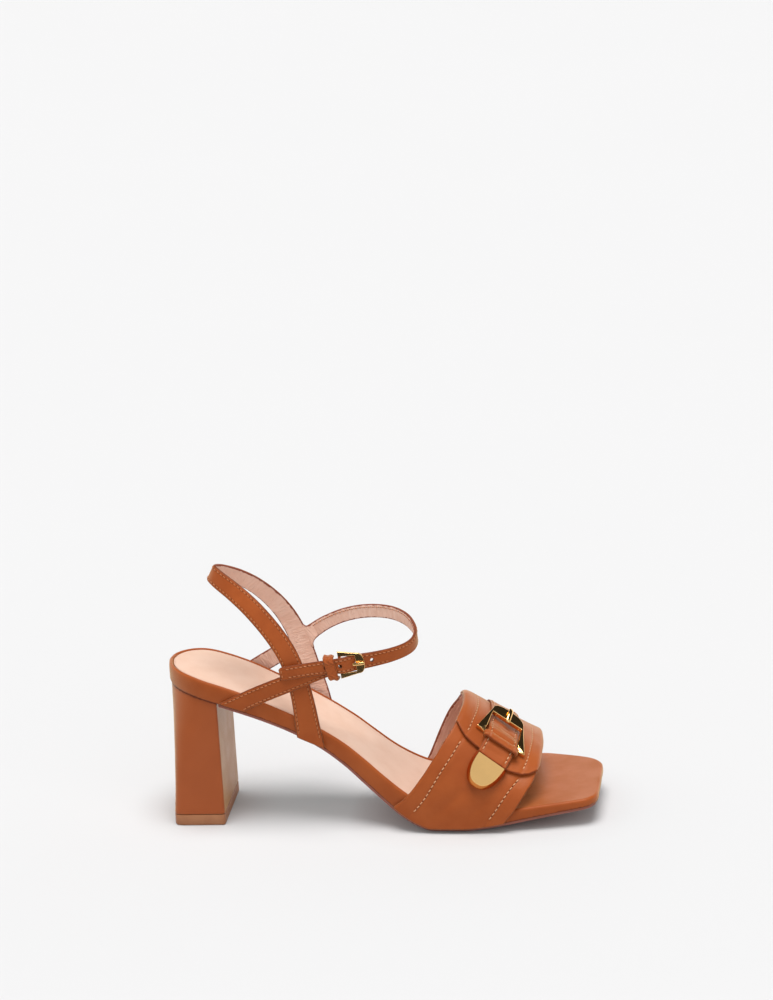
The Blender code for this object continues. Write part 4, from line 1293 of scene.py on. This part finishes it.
def buckle_prong(name, node, origin, axes, reach, sizes, prong):
    """Rod with a rounded section and round ends, arched over the frame.

    Its level is a parabola on both sides of the bow's middle, and it dips into the window.
    """
    ahead_axis = axes[0] - sizes["lean"] * axes[1]
    share = np.linspace(0, 1, 48)
    place = reach - prong["reach"] + (prong["reach"] + GAP) * share
    top = reach - sizes["end"] / 2
    before = np.clip(top - place, 0, None) / (top - place[0])
    after = np.clip(place - top, 0, None) / (place[-1] - top)
    arched = prong["arch"] * (1 - after ** 2) - prong["dip"] * before ** 2
    end = np.minimum(share, 1 - share) * prong["reach"] / (PRONG_ROUND * prong["width"])
    round_end = np.sqrt(np.clip(1 - np.clip(1 - end, 0, 1) ** 2, 0, 1))
    turn = np.linspace(0, 2 * np.pi, 33)[:-1]
    side = np.sign(np.cos(turn)) * np.abs(np.cos(turn)) ** PRONG_POWER / 2
    rise = 0.5 + 0.5 * np.sign(np.sin(turn)) * np.abs(np.sin(turn)) ** PRONG_POWER
    base = origin + (sizes["thickness"] / 2 + sizes["swell"] + GAP) * axes[2]
    points = base + place[:, None, None] * ahead_axis
    points = points + (round_end[:, None] * side * prong["width"])[..., None] * axes[1]
    belly = PRONG_BELLY + round_end[:, None] * (rise - PRONG_BELLY)
    level = arched[:, None] + prong["thickness"] * belly
    points = points + level[..., None] * axes[2]
    quads = grid_quads(numbered(points), closed=True)
    new_piece(name, (points.reshape(-1, 3), quads), [polished_gold], node)


def plane_axes(share, half, height, end):
    """Middle of a flat piece's edge across the strap, and its axes: to its end, sideways, outwards."""
    back = strap_point(share, -half, height)
    front = strap_point(share, half, height)
    side = unit(front - back)
    middle = (back + front) / 2
    ahead = end - middle
    ahead = unit(ahead - (ahead @ side) * side)
    return middle, (ahead, side, np.cross(side, ahead))


polished_gold = gold_material()
trim_foot = OVERLAY_TOP + GAP
bar_height = trim_foot + VAMP_BUCKLE["thickness"] / 2
frame_end = strap_point(BUCKLE_ENDS[1], 0, bar_height + BUCKLE_END_LIFT)
bar_middle, plate_axes = plane_axes(BUCKLE_ENDS[0], VAMP_BUCKLE["half_base"], bar_height, frame_end)
plate_origin = bar_middle - VAMP_BUCKLE["bar"] / 2 * plate_axes[0]
plate_reach = (frame_end - plate_origin) @ plate_axes[0]
plate = (plate_origin, plate_axes, plate_reach, VAMP_BUCKLE)
buckle_frame("vamp_buckle_gold", "vamp_buckle_frame", *plate)
buckle_prong("vamp_prong_gold", "vamp_buckle_prong", *plate, VAMP_PRONG)

# Strap tip
# A half oval of the same gold metal, clamped over the end of the vamp strap. Its flat face is polished bright
# and its rim is chamfered down to the overlay, with a deeper orange painted on the chamfer as a reflection of
# the leather.

TIP_ENDS = (0.2375, 0.138)
TIP_END_LIFT = 0.6
STRAP_TIP = {"half_width": 9.5, "length": 16.5, "thickness": 3.0, "roundness": 2.4}

# Section of the tip's rim from its foot to its face: inset from its edge and drop below the face
TIP_RIM = table("inset drop", [
    (0.25, 3.0),
    (0.00, 2.75),
    (0.03, 2.4),
    (1.40, 0.2),
    (1.48, 0.06),
    (1.60, 0.0),
    (1.75, 0.0),
])


def tip_loop(height, inset):
    """Half oval at a height, its round moved inwards: side is a superellipse of the share of the length."""
    step = np.sin(np.radians(np.linspace(0, 89, 60)))
    along = (STRAP_TIP["length"] - inset) * step
    power = STRAP_TIP["roundness"]
    side = (STRAP_TIP["half_width"] - inset) * (1 - step ** power) ** (1 / power)
    flat = np.column_stack((np.concatenate((along, along[::-1])), np.concatenate((-side, side[::-1]))))
    return tip_start + flat[:, :1] * tip_axes[0] + flat[:, 1:] * tip_axes[1] - height * tip_axes[2]


tip_end = strap_point(TIP_ENDS[1], 0, trim_foot + TIP_END_LIFT)
tip_start, tip_axes = plane_axes(TIP_ENDS[0], STRAP_TIP["half_width"], trim_foot, tip_end)
tip_heights = STRAP_TIP["thickness"] - TIP_RIM["drop"]
tip_loops = [tip_loop(height, inset) for height, inset in zip(tip_heights, TIP_RIM["inset"])]
tip_shape = stacked(tip_loops, 9)
# Distance from the tip's edge, which places the painted reflection on its chamfer
tip_reflection_rim = loop_rim(tip_loops, tip_shape, TIP_RIM["inset"])
new_piece("strap_tip_gold", tip_shape, [polished_gold], "vamp_strap_tip", tip_reflection_rim)

# Slingback and ankle straps
# Three narrow straps of folded tan leather with a rosy lining, their edges painted and sewn. The slingback
# and the crossing straps are lasted in under the board, and they are caught together where they cross.

STRAP_THICKNESS = 1.8
ANKLE_STRAP_THICKNESS = 1.6
NARROW_WIDTH = 9.5
RIBBON_STEP = 0.55
ACROSS_STEP = 0.45
END_NARROWING = 0.55
RIBBON_CROWN = 0.14
NARROW_SEAM = 1.5
NARROW_GROOVE = (0.6, 0.16)
THREAD_SINK = 0.02
NARROW_STITCH = {"pitch": 2.4, "length": 1.75, "radius": 0.26}
STRAP_THREAD = (0.520, 0.190, 0.070)
STRAP_LINING = (0.850, 0.600, 0.490)
STRAP_LINING_DEEP = (0.770, 0.500, 0.390)
INNER_SIDE = 15.0
WEB_STEP = 0.4
WEB = {"radius": 3.2, "thickness": 1.0, "start": 64.5, "end": 83.0, "proud": 0.12, "dive": 0.9}

# Start and run of the web's way over from strap to strap and of its two dives, by distance from the slingback
WEB_EASE = (0.3, 5.0)
WEB_BACK_DIVE = (-0.3, -1.6)
WEB_FRONT_DIVE = (3.6, 2.0)

PUNCHED_HOLES = (111.5, 103.7, 95.9, 88.1)
HOLE_RADIUS = 1.0

# Slingback from the sole to its back fold: place, distance from the middle line and height on both sides,
# width, turn and lift of its outer face, and slant of its end
SLINGBACK = table("outer_x inner_x outer inner outer_z inner_z width turn lift slant", [
    (77.4, 76.4, 29.1, 22.0, 47.0, 47.0, 13.6, 0, 0, 0.62),
    (76.0, 74.2, 28.8, 22.6, 58.0, 58.0, 12.9, 0, 0, 0.0),
    (74.6, 71.4, 28.2, 23.2, 69.5, 69.5, 12.0, 0, 2, 0.0),
    (72.2, 68.2, 27.4, 23.7, 82.0, 82.0, 11.2, 0, 6, 0.0),
    (68.2, 64.0, 25.9, 23.4, 93.5, 93.9, 10.9, 0, 11, 0.0),
    (63.2, 59.2, 23.6, 22.3, 102.0, 103.4, 10.8, 3, 17, 0.0),
    (56.4, 52.9, 20.0, 19.8, 110.3, 112.4, 10.6, 6, 23, 0.0),
    (47.8, 45.3, 15.3, 15.5, 118.6, 120.8, 10.3, 10, 27, 0.0),
    (38.8, 37.6, 10.0, 10.3, 125.2, 127.2, 9.9, 20, 29, 0.0),
    (30.0, 29.7, 4.7, 4.8, 130.6, 131.6, 9.6, 48, 30, 0.0),
    (26.2, 26.2, 0.0, 0.0, 132.8, 132.8, 9.5, 90, 28, 0.0),
])

# Crossing strap on the outer side, from the sole to the small buckle
CROSS_STRAP = table("x y z width face lift slant", [
    (36.2, -28.3, 67.2, 9.8, 0, 0, 1.0),
    (46.0, -28.6, 72.0, 9.8, 0, 0, 0.0),
    (56.0, -28.9, 76.2, 9.8, 0, 0, 0.0),
    (66.0, -29.1, 80.1, 9.6, 0, 3, 0.0),
    (76.0, -28.9, 83.8, 9.2, 0, 3, 0.0),
    (86.0, -28.8, 87.4, 8.6, 0, 0, 0.0),
    (93.6, -28.8, 89.6, 8.2, 0, 0, 0.0),
])

# Ankle strap: inner side of the sole, round the front, through the small buckle, to its free end
ANKLE_STRAP = table("x y z width face lift slant", [
    (36.6, 25.2, 67.2, 9.8, 180, 0, -1.0),
    (46.0, 25.4, 72.8, 9.8, 180, 0, 0.0),
    (56.5, 25.5, 79.0, 9.6, 180, 0, 0.0),
    (66.0, 25.3, 85.2, 9.0, 180, 3, 0.0),
    (74.0, 25.0, 90.6, 8.2, 180, 3, 0.0),
    (82.0, 24.3, 95.6, 7.6, 186, 0, 0.0),
    (91.0, 23.2, 99.6, 7.5, 189, 0, 0.0),
    (101.0, 21.5, 102.2, 7.5, 193, 0, 0.0),
    (111.0, 19.0, 103.2, 7.5, 200, 0, 0.0),
    (119.5, 15.9, 102.7, 7.5, 210, 0, 0.0),
    (126.3, 11.3, 100.9, 7.5, 230, 0, 0.0),
    (130.7, 5.8, 98.0, 7.5, 255, 0, 0.0),
    (132.4, 0.0, 95.4, 7.5, 275, 0, 0.0),
    (131.4, -6.4, 93.4, 7.5, 296, 0, 0.0),
    (127.4, -12.8, 92.3, 7.5, 313, 0, 0.0),
    (120.5, -19.2, 91.8, 7.8, 323, 0, 0.0),
    (113.0, -23.6, 91.5, 8.2, 330, 0, 0.0),
    (107.6, -25.9, 91.3, 8.6, 335, 0, 0.0),
    (104.0, -27.0, 91.1, 8.8, 338, 0, 0.0),
    (100.4, -29.0, 90.9, 8.9, 338, 0, 0.0),
    (96.8, -30.7, 90.6, 8.8, 350, 0, 0.0),
    (92.0, -30.7, 90.1, 8.2, 360, 0, 0.0),
    (80.0, -30.5, 88.7, 7.6, 360, 0, 0.0),
    (70.0, -30.4, 87.2, 7.5, 360, 0, 0.0),
    (63.4, -30.4, 86.2, 7.2, 360, 0, 0.0),
])

# Soft troughs across the straps, by share of their length and width
SLINGBACK_CREASES = table("share length end_share end_length width depth", [
    (0.180, 0.05, 0.195, 0.75, 1.6, 0.14),
    (0.300, 0.20, 0.310, 0.95, 1.8, 0.14),
    (0.410, 0.05, 0.400, 0.80, 1.6, 0.14),
    (0.500, 0.10, 0.500, 0.90, 1.8, 0.22),
    (0.590, 0.10, 0.600, 0.95, 1.6, 0.14),
    (0.760, 0.10, 0.750, 0.85, 1.6, 0.14),
])
CROSS_CREASES = table("share length end_share end_length width depth", [
    (0.30, 0.10, 0.33, 0.80, 1.6, 0.12),
    (0.86, 0.15, 0.84, 0.90, 1.2, 0.12),
])
ANKLE_CREASES = table("share length end_share end_length width depth", [
    (0.330, 0.10, 0.335, 0.90, 1.6, 0.12),
    (0.520, 0.10, 0.515, 0.85, 1.5, 0.16),
    (0.570, 0.15, 0.575, 0.95, 1.5, 0.16),
    (0.780, 0.05, 0.785, 0.90, 1.2, 0.16),
    (0.860, 0.10, 0.850, 0.90, 1.4, 0.12),
])


def along_rows(rows, count):
    """Smooth curve through a table's rows: between two rows a cubic whose slopes span their neighbours."""
    points = np.column_stack(list(rows.values()))
    padded = np.vstack((2 * points[0] - points[1], points, 2 * points[-1] - points[-2]))
    place = np.linspace(0, len(points) - 1, count)
    row = np.minimum(place.astype(int), len(points) - 2)
    part = (place - row)[:, None]
    before, start, end, after = (padded[row + shift] for shift in range(4))
    bend = 2 * before - 5 * start + 4 * end - after
    twist = 3 * (start - end) + after - before
    values = start + 0.5 * part * (end - before + part * (bend + part * twist))
    return dict(zip(rows, values.T))


def ribbon_lines(rows, thickness, step):
    """Middle, half edge vector and outer normal along a strap, their shares of its length, and its length.

    The places are even, with finer steps at the rounded ends. The edge vector lies in the strap's face and is
    square to the run, apart from its slant.
    """
    path = along_rows(rows, 1200)
    middle = np.column_stack((path["x"], path["y"], path["z"]))
    along = unit(np.gradient(middle, axis=0))
    face = np.radians(path["face"])
    lift = np.radians(path["lift"])
    level = np.cos(lift)
    guide = np.column_stack((-np.sin(face) * level, -np.cos(face) * level, np.sin(lift)))
    outward = unit(guide - (guide * along).sum(1, keepdims=True) * along)
    edge = path["width"][:, None] / 2 * (np.cross(along, outward) + path["slant"][:, None] * along)
    walked = walked_along(middle, 0)
    places = edged(walked[-1], step, thickness / 2)
    lines = [at_distance(places * walked[-1], walked, values) for values in (middle, edge, outward)]
    return (*lines, places, walked[-1])


def ribbon(rows, thickness, rows_of_creases, end_round=0.0):
    """Strap for new_sheet: middle plus a share of its edge vector, drawn in to a round at its last end.

    The outer face has a soft crown, a groove under each seam and the listed creases.
    """
    middle, edge, _, places, length = ribbon_lines(rows, thickness, RIBBON_STEP)
    width = 2 * np.linalg.norm(edge, axis=1)
    across = edged(NARROW_WIDTH, ACROSS_STEP, thickness / 2) * 2 - 1
    corner = np.ones_like(places)
    if end_round:
        near_end = np.clip(1 - (1 - places) * length / end_round, 0, 1)
        corner = np.sqrt(1 - END_NARROWING * near_end ** 2)
    grid = middle[:, None] + across[None, :, None] * (edge * corner[:, None])[:, None]
    from_edge = (1 - np.abs(across))[None] * width[:, None] / 2
    relief = RIBBON_CROWN * (1 - across ** 4)[None] + trough(from_edge - NARROW_SEAM, *NARROW_GROOVE)
    share, side = np.meshgrid(places, across / 2 + 0.5, indexing="ij")
    relief = relief + creases(share, side, rows_of_creases, length, NARROW_WIDTH)
    return pillow(grid, thickness, over=relief)


def ribbon_seam(rows, thickness, sides, start, end, face=1):
    """Seam lines along a strap between two shares of its length, near its lower (-1) or upper (1) edge.

    face is 1 for its outer face and -1 for its lining.
    """
    middle, edge, outward, places, _ = ribbon_lines(rows, thickness, RIBBON_STEP)
    keep = (places >= start) & (places <= end)
    half = np.linalg.norm(edge, axis=1, keepdims=True)
    level = face * outward * (thickness / 2 - THREAD_SINK)
    lines = []
    for side in sides:
        line = middle + side * edge * (1 - NARROW_SEAM / half) + level
        lines.append((line[keep], face * outward[keep]))
    return lines


def end_seam(rows, thickness):
    """Seam line across a strap, beside its last end."""
    middle, edge, outward, places, length = ribbon_lines(rows, thickness, RIBBON_STEP)
    row = np.argmin(np.abs((1 - places) * length - NARROW_SEAM))
    line = middle[row] + np.linspace(-0.6, 0.6, 20)[:, None] * edge[row]
    return line + outward[row] * (thickness / 2 - THREAD_SINK), np.repeat(outward[row:row + 1], 20, 0)


def punch(piece, rows, places, radius):
    """Holes through a strap: cylinders along its normal, at these places on its last run, are cut out."""
    middle, edge, outward, _, _ = ribbon_lines(rows, ANKLE_STRAP_THICKNESS, RIBBON_STEP)
    late = len(middle) // 2
    turn = np.linspace(0, 2 * np.pi, 21)[:-1]
    points = []
    faces = []
    for place in places:
        row = late + np.argmin(np.abs(middle[late:, 0] - place))
        side = unit(edge[row])
        ahead = np.cross(side, outward[row])
        ring = middle[row] + radius * (np.cos(turn)[:, None] * ahead + np.sin(turn)[:, None] * side)
        number = len(points) * 40 + np.arange(40).reshape(2, 20)
        points.append(np.vstack((ring - 2 * outward[row], ring + 2 * outward[row])))
        faces += grid_quads(number, closed=True).tolist() + [number[0, ::-1].tolist(), number[1].tolist()]
    mesh = bpy.data.meshes.new("punch")
    mesh.from_pydata(((np.vstack(points) + SHIFT) * MM).tolist(), [], faces)
    # The hole walls take the dark edge colour: painted shade inside the holes
    mesh.materials.append(leather("punched_edge", EDGE_PAINT_AND_SHADE, EDGE_PAINT_AND_SHADE))
    cutter = bpy.data.objects.new("punch", mesh)
    bpy.context.scene.collection.objects.link(cutter)
    cut = piece.modifiers.new("holes", "BOOLEAN")
    cut.operation = "DIFFERENCE"
    cut.material_mode = "TRANSFER"
    cut.object = cutter
    whole = piece.evaluated_get(bpy.context.evaluated_depsgraph_get())
    piece.data = bpy.data.meshes.new_from_object(whole)
    piece.modifiers.remove(cut)
    bpy.data.objects.remove(cutter)


def slingback_rows():
    """Rows of the slingback from its outer end over the back fold to its inner end."""
    outer = [SLINGBACK["outer_x"], -SLINGBACK["outer"], SLINGBACK["outer_z"], SLINGBACK["width"]]
    outer += [SLINGBACK["turn"], SLINGBACK["lift"], -SLINGBACK["slant"]]
    inner = [SLINGBACK["inner_x"], SLINGBACK["inner"], SLINGBACK["inner_z"], SLINGBACK["width"]]
    inner += [180 - SLINGBACK["turn"], SLINGBACK["lift"], SLINGBACK["slant"]]
    whole = np.column_stack((np.array(outer), np.array(inner)[:, -2::-1]))
    return dict(zip("x y z width face lift slant".split(), whole))


def inner_run(rows, thickness, low, high):
    """One edge of a strap's inner side between two heights, and the plane of its foot side there.

    The edge is the one that the edge vector points to: the front edge of the slingback. The plane gives y as
    a number plus shares of x and z, by least squares.
    """
    middle, edge, outward, _, _ = ribbon_lines(rows, thickness, RIBBON_STEP)
    near = (middle[:, 1] > INNER_SIDE) & (middle[:, 2] > low) & (middle[:, 2] < high)
    middle, edge, outward = middle[near], edge[near], outward[near]
    points = np.vstack([middle + side * edge - outward * thickness / 2 for side in (-0.8, 0.8)])
    flat = np.column_stack((np.ones(len(points)), points[:, 0], points[:, 2]))
    return middle + edge, np.linalg.lstsq(flat, points[:, 1], rcond=None)[0]


def web_sheet():
    """Lining where the inner crossing is cut in one piece.

    It widens in quarter circles towards the slingback. Its foot side follows the slingback's, then eases over
    to the ankle strap's, and both of its ends dive into the straps.
    """
    border, sling_plane = inner_run(sling, STRAP_THICKNESS, 82.0, 95.0)
    _, ankle_plane = inner_run(ANKLE_STRAP, ANKLE_STRAP_THICKNESS, 86.0, 96.0)
    ahead = unit((border[-1] - border[0])[[0, 2]])
    normal = np.array((-ahead[1], ahead[0]))
    middle, edge, _, _, _ = ribbon_lines(ANKLE_STRAP, ANKLE_STRAP_THICKNESS, WEB_STEP)
    row = (middle[:, 1] > INNER_SIDE) & (middle[:, 0] > WEB["start"]) & (middle[:, 0] < WEB["end"])
    middle, edge = middle[row][:, None], edge[row][:, None]
    half = np.linalg.norm(edge, axis=-1)
    across = edged(NARROW_WIDTH, WEB_STEP, WEB["thickness"] / 2)[None] * 2 - 1
    radius = WEB["radius"]
    wide = across + 0 * half
    # Widening moves the points that it depends on, so it is worked out in three rounds
    for _ in range(3):
        grid = middle + wide[..., None] * edge
        away = (grid[..., [0, 2]] - border[0, [0, 2]]) @ normal
        rest = np.clip(radius - away, 0, radius)
        wide = across * (1 + (radius - np.sqrt(radius ** 2 - rest ** 2)) / half)
    grid = middle + wide[..., None] * edge
    ease = eased(away, *WEB_EASE)
    dive = WEB["dive"] * (ramp(away, *WEB_BACK_DIVE) + ramp(away, *WEB_FRONT_DIVE))
    foot = [plane[0] + grid[..., [0, 2]] @ plane[1:] for plane in (sling_plane, ankle_plane)]
    level = foot[0] * (1 - ease) + foot[1] * ease - WEB["proud"] + dive
    grid = np.stack((grid[..., 0], level + WEB["thickness"] / 2, grid[..., 2]), -1)
    return pillow(grid, WEB["thickness"])


lining_leather = lining_material("lining_leather", STRAP_LINING, STRAP_LINING_DEEP)
strap_thread = thread_material("strap_thread", STRAP_THREAD)
strap_finish = [tan_leather, lining_leather]
sling = slingback_rows()
sling_sheet = ribbon(sling, STRAP_THICKNESS, SLINGBACK_CREASES)
new_sheet("slingback_leather", sling_sheet, strap_finish, "ankle_straps")
cross_sheet = ribbon(CROSS_STRAP, STRAP_THICKNESS, CROSS_CREASES)
new_sheet("cross_strap_leather", cross_sheet, strap_finish, "ankle_straps")
ankle_sheet = ribbon(ANKLE_STRAP, ANKLE_STRAP_THICKNESS, ANKLE_CREASES, end_round=2.2)
ankle_strap = new_sheet("ankle_strap_leather", ankle_sheet, strap_finish, "ankle_straps")
punch(ankle_strap, ANKLE_STRAP, PUNCHED_HOLES, HOLE_RADIUS)
new_sheet("crossing_web_leather", web_sheet(), strap_finish, "ankle_straps")

seam_lines = ribbon_seam(sling, STRAP_THICKNESS, (-1, 1), 0.015, 0.985)
seam_lines += ribbon_seam(CROSS_STRAP, STRAP_THICKNESS, (-1, 1), 0.02, 0.93)
seam_lines += ribbon_seam(ANKLE_STRAP, ANKLE_STRAP_THICKNESS, (-1,), 0.015, 0.40)
seam_lines += ribbon_seam(ANKLE_STRAP, ANKLE_STRAP_THICKNESS, (-1,), 0.70, 0.985)
seam_lines += ribbon_seam(ANKLE_STRAP, ANKLE_STRAP_THICKNESS, (1,), 0.015, 0.985)
seam_lines += ribbon_seam(ANKLE_STRAP, ANKLE_STRAP_THICKNESS, (1,), 0.20, 0.62, face=-1)
seam_lines.append(end_seam(ANKLE_STRAP, ANKLE_STRAP_THICKNESS))
new_seam("ankle_strap", seam_lines, strap_thread, NARROW_STITCH)

# Ankle keeper
# A small loop of thin tan leather on the crossing strap, behind the small buckle. It holds the free end of
# the ankle strap flat.

ANKLE_KEEPER = {"half": 5.3, "top": 4.2, "lean": 0.12}
ANKLE_KEEPER_START = np.array((88.1, -27.6, 89.2))
ANKLE_KEEPER_END = np.array((93.8, -27.6, 89.2))
ANKLE_BUCKLE_BAR = np.array((95.0, -28.9, 90.3))
ANKLE_BUCKLE_END = np.array((108.4, -29.0, 91.7))

small_reach = np.linalg.norm(ANKLE_BUCKLE_END - ANKLE_BUCKLE_BAR)
ahead = (ANKLE_BUCKLE_END - ANKLE_BUCKLE_BAR) / small_reach
outward = np.array((0.0, -1.0, 0.0))
outward = unit(outward - (outward @ ahead) * ahead)
small_axes = (ahead, np.cross(ahead, outward), outward)
keeper_half = ANKLE_KEEPER["half"] + KEEPER_THICKNESS / 2
path = keeper_path(keeper_half, 0.0, ANKLE_KEEPER["top"] + KEEPER_THICKNESS / 2)
keeper_run = ANKLE_KEEPER_END - ANKLE_KEEPER_START
along = edged(np.linalg.norm(keeper_run), KEEPER_STEP, KEEPER_THICKNESS / 2)
side_grid, along_grid = np.meshgrid(path[:, 0], along, indexing="ij")
height_grid = np.broadcast_to(path[:, 1:], side_grid.shape)
middle = ANKLE_KEEPER_START + keeper_run * along_grid[..., None]
middle = middle - side_grid[..., None] * (small_axes[1] + ANKLE_KEEPER["lean"] * ahead)
middle = middle + height_grid[..., None] * outward
keeper_relief = keeper_wrinkles(side_grid, along_grid, keeper_half)
keeper_sheet = pillow(middle, KEEPER_THICKNESS, over=keeper_relief)
new_sheet("ankle_keeper_leather", keeper_sheet, [folded_leather] * 2, "ankle_keeper")

# Ankle buckle
# A small half-round frame of gold metal sewn into the end of the crossing strap. Its prong passes through
# one of the punched holes of the ankle strap.

ANKLE_BUCKLE = {
    "half_base": 7.5, "shoulder": 5.5, "bow": 3.4, "half_window": 4.7, "taper": 0.2, "bar": 1.6, "end": 4.6,
    "thickness": 1.4, "swell": 0.0, "lean": 0, "soft": 0.24,
}
ANKLE_PRONG = {"reach": 6.4, "width": 1.7, "thickness": 1.1, "arch": 0.2, "dip": 0.3}

small_buckle = (ANKLE_BUCKLE_BAR, small_axes, small_reach, ANKLE_BUCKLE)
buckle_frame("ankle_buckle_gold", "ankle_buckle_frame", *small_buckle)
buckle_prong("ankle_prong_gold", "ankle_buckle_prong", *small_buckle, ANKLE_PRONG)

# Floor, light and camera
# A plain pale floor under soft studio light: broad sources above, in front and beside the heel, and pale
# walls, brightest at the back, under a dim ceiling. A dark card on the floor in front, out of the picture,
# gives the metal its dark faces. The camera looks down on the shoe's outer side, a little rolled.

FLOOR_TONE = (0.526, 0.506, 0.507)
FLOOR_GLOW = (0.148, 0.176, 0.177, 1.0)
GLOW_REACH = 0.026
CARD_BLACK = (0.012, 0.012, 0.012)
CARD_BLACK_DEEP = (0.010, 0.010, 0.010)
WALL_FRONT = 0.45
WALL_BACK = 1.6
CEILING = 0.03
CAMERA = {"azimuth": 7.690, "elevation": 17.473, "roll": 3.589, "distance": 2200.0, "lens": 152.06}
AIM = np.array((121.32, 0.0, 170.72))


def sun_light(name, origin, strength, spread):
    """Distant light from a direction: its strength on a facing surface, and how many degrees wide it is."""
    lamp = bpy.data.lights.new(name, "SUN")
    lamp.energy = strength
    lamp.angle = math.radians(spread)
    light = bpy.data.objects.new(name, lamp)
    light.rotation_euler = (-Vector(origin)).to_track_quat("-Z", "Y").to_euler()
    bpy.context.scene.collection.objects.link(light)


def new_plate(name, half, near, far, height, material):
    """Level plate of the studio, in metres: from -half to half along x, and from near to far along y."""
    corners = [(-half, near, height), (half, near, height), (half, far, height), (-half, far, height)]
    mesh = bpy.data.meshes.new(name)
    mesh.from_pydata(corners, [], [(0, 1, 2, 3)])
    mesh.materials.append(material)
    plate = bpy.data.objects.new(name, mesh)
    bpy.context.scene.collection.objects.link(plate)
    return plate


floor_plain = {"Specular IOR Level": 0.0, "Roughness": 0.8, "Emission Color": FLOOR_GLOW}
floor_paint, tree, shader, place = new_material("floor_paint", floor_plain)
# The glow stands for light thrown back by the studio, so it fades where the shoe is close above
shade = add(tree, "ShaderNodeAmbientOcclusion", {"Distance": GLOW_REACH}, samples=8)
tree.links.new(shade.outputs["AO"], shader.inputs["Emission Strength"])
clouds = add(tree, "ShaderNodeGroup", {"Vector": place}, node_tree=speckle)
clouds.inputs["Broad Scale"].default_value = 3.0
floor_deep = tuple(value * 0.985 for value in FLOOR_TONE)
floor_colour = mixed(tree, clouds.outputs["Broad"], (*FLOOR_TONE, 1), (*floor_deep, 1))
tree.links.new(floor_colour, shader.inputs["Base Color"])
new_plate("floor", 6.0, -6.0, 6.0, -0.0002, floor_paint)

card_paint = rubber("dark_card", CARD_BLACK, CARD_BLACK_DEEP, 0.9)
card = new_plate("dark_card", 3.0, -3.0, -0.22, 0.0005, card_paint)
card.visible_camera = False
card.visible_diffuse = False
card.visible_shadow = False

sun_light("top_light", (0.03, -0.10, 1.0), 3.45, 38)
sun_light("front_light", (0.28, -0.72, 0.63), 0.85, 74)
sun_light("side_light", (-0.90, -0.25, 0.35), 0.35, 60)

world = bpy.data.worlds.new("studio")
world.use_nodes = True
tree = world.node_tree
direction = add(tree, "ShaderNodeTexCoord").outputs["Generated"]
parts = add(tree, "ShaderNodeSeparateXYZ", {"Vector": direction})
wall = ranged(tree, parts.outputs["Y"], -0.4, 0.5, WALL_FRONT, WALL_BACK)
glow = ranged(tree, parts.outputs["Z"], 0.28, 0.55, wall, CEILING)
tree.links.new(glow, tree.nodes["Background"].inputs["Strength"])
tree.nodes["Background"].inputs["Color"].default_value = (1, 1, 1, 1)
bpy.context.scene.world = world
bpy.context.scene.view_settings.view_transform = "Standard"

turn, tilt, roll = (math.radians(CAMERA[key]) for key in ("azimuth", "elevation", "roll"))
back = np.array((math.sin(turn) * math.cos(tilt), -math.cos(turn) * math.cos(tilt), math.sin(tilt)))
right = np.array((math.cos(turn), math.sin(turn), 0.0))
upward = np.cross(back, right)
matrix = np.eye(4)
matrix[:3, 0] = math.cos(roll) * right - math.sin(roll) * upward
matrix[:3, 1] = math.sin(roll) * right + math.cos(roll) * upward
matrix[:3, 2] = back
matrix[:3, 3] = (AIM + SHIFT + CAMERA["distance"] * back) * MM
lens = bpy.data.cameras.new("camera")
lens.sensor_width = 36.0
lens.lens = CAMERA["lens"]
lens.clip_end = 50.0
camera = bpy.data.objects.new("camera", lens)
camera.matrix_world = Matrix(matrix.tolist())
bpy.context.scene.collection.objects.link(camera)
bpy.context.scene.camera = camera
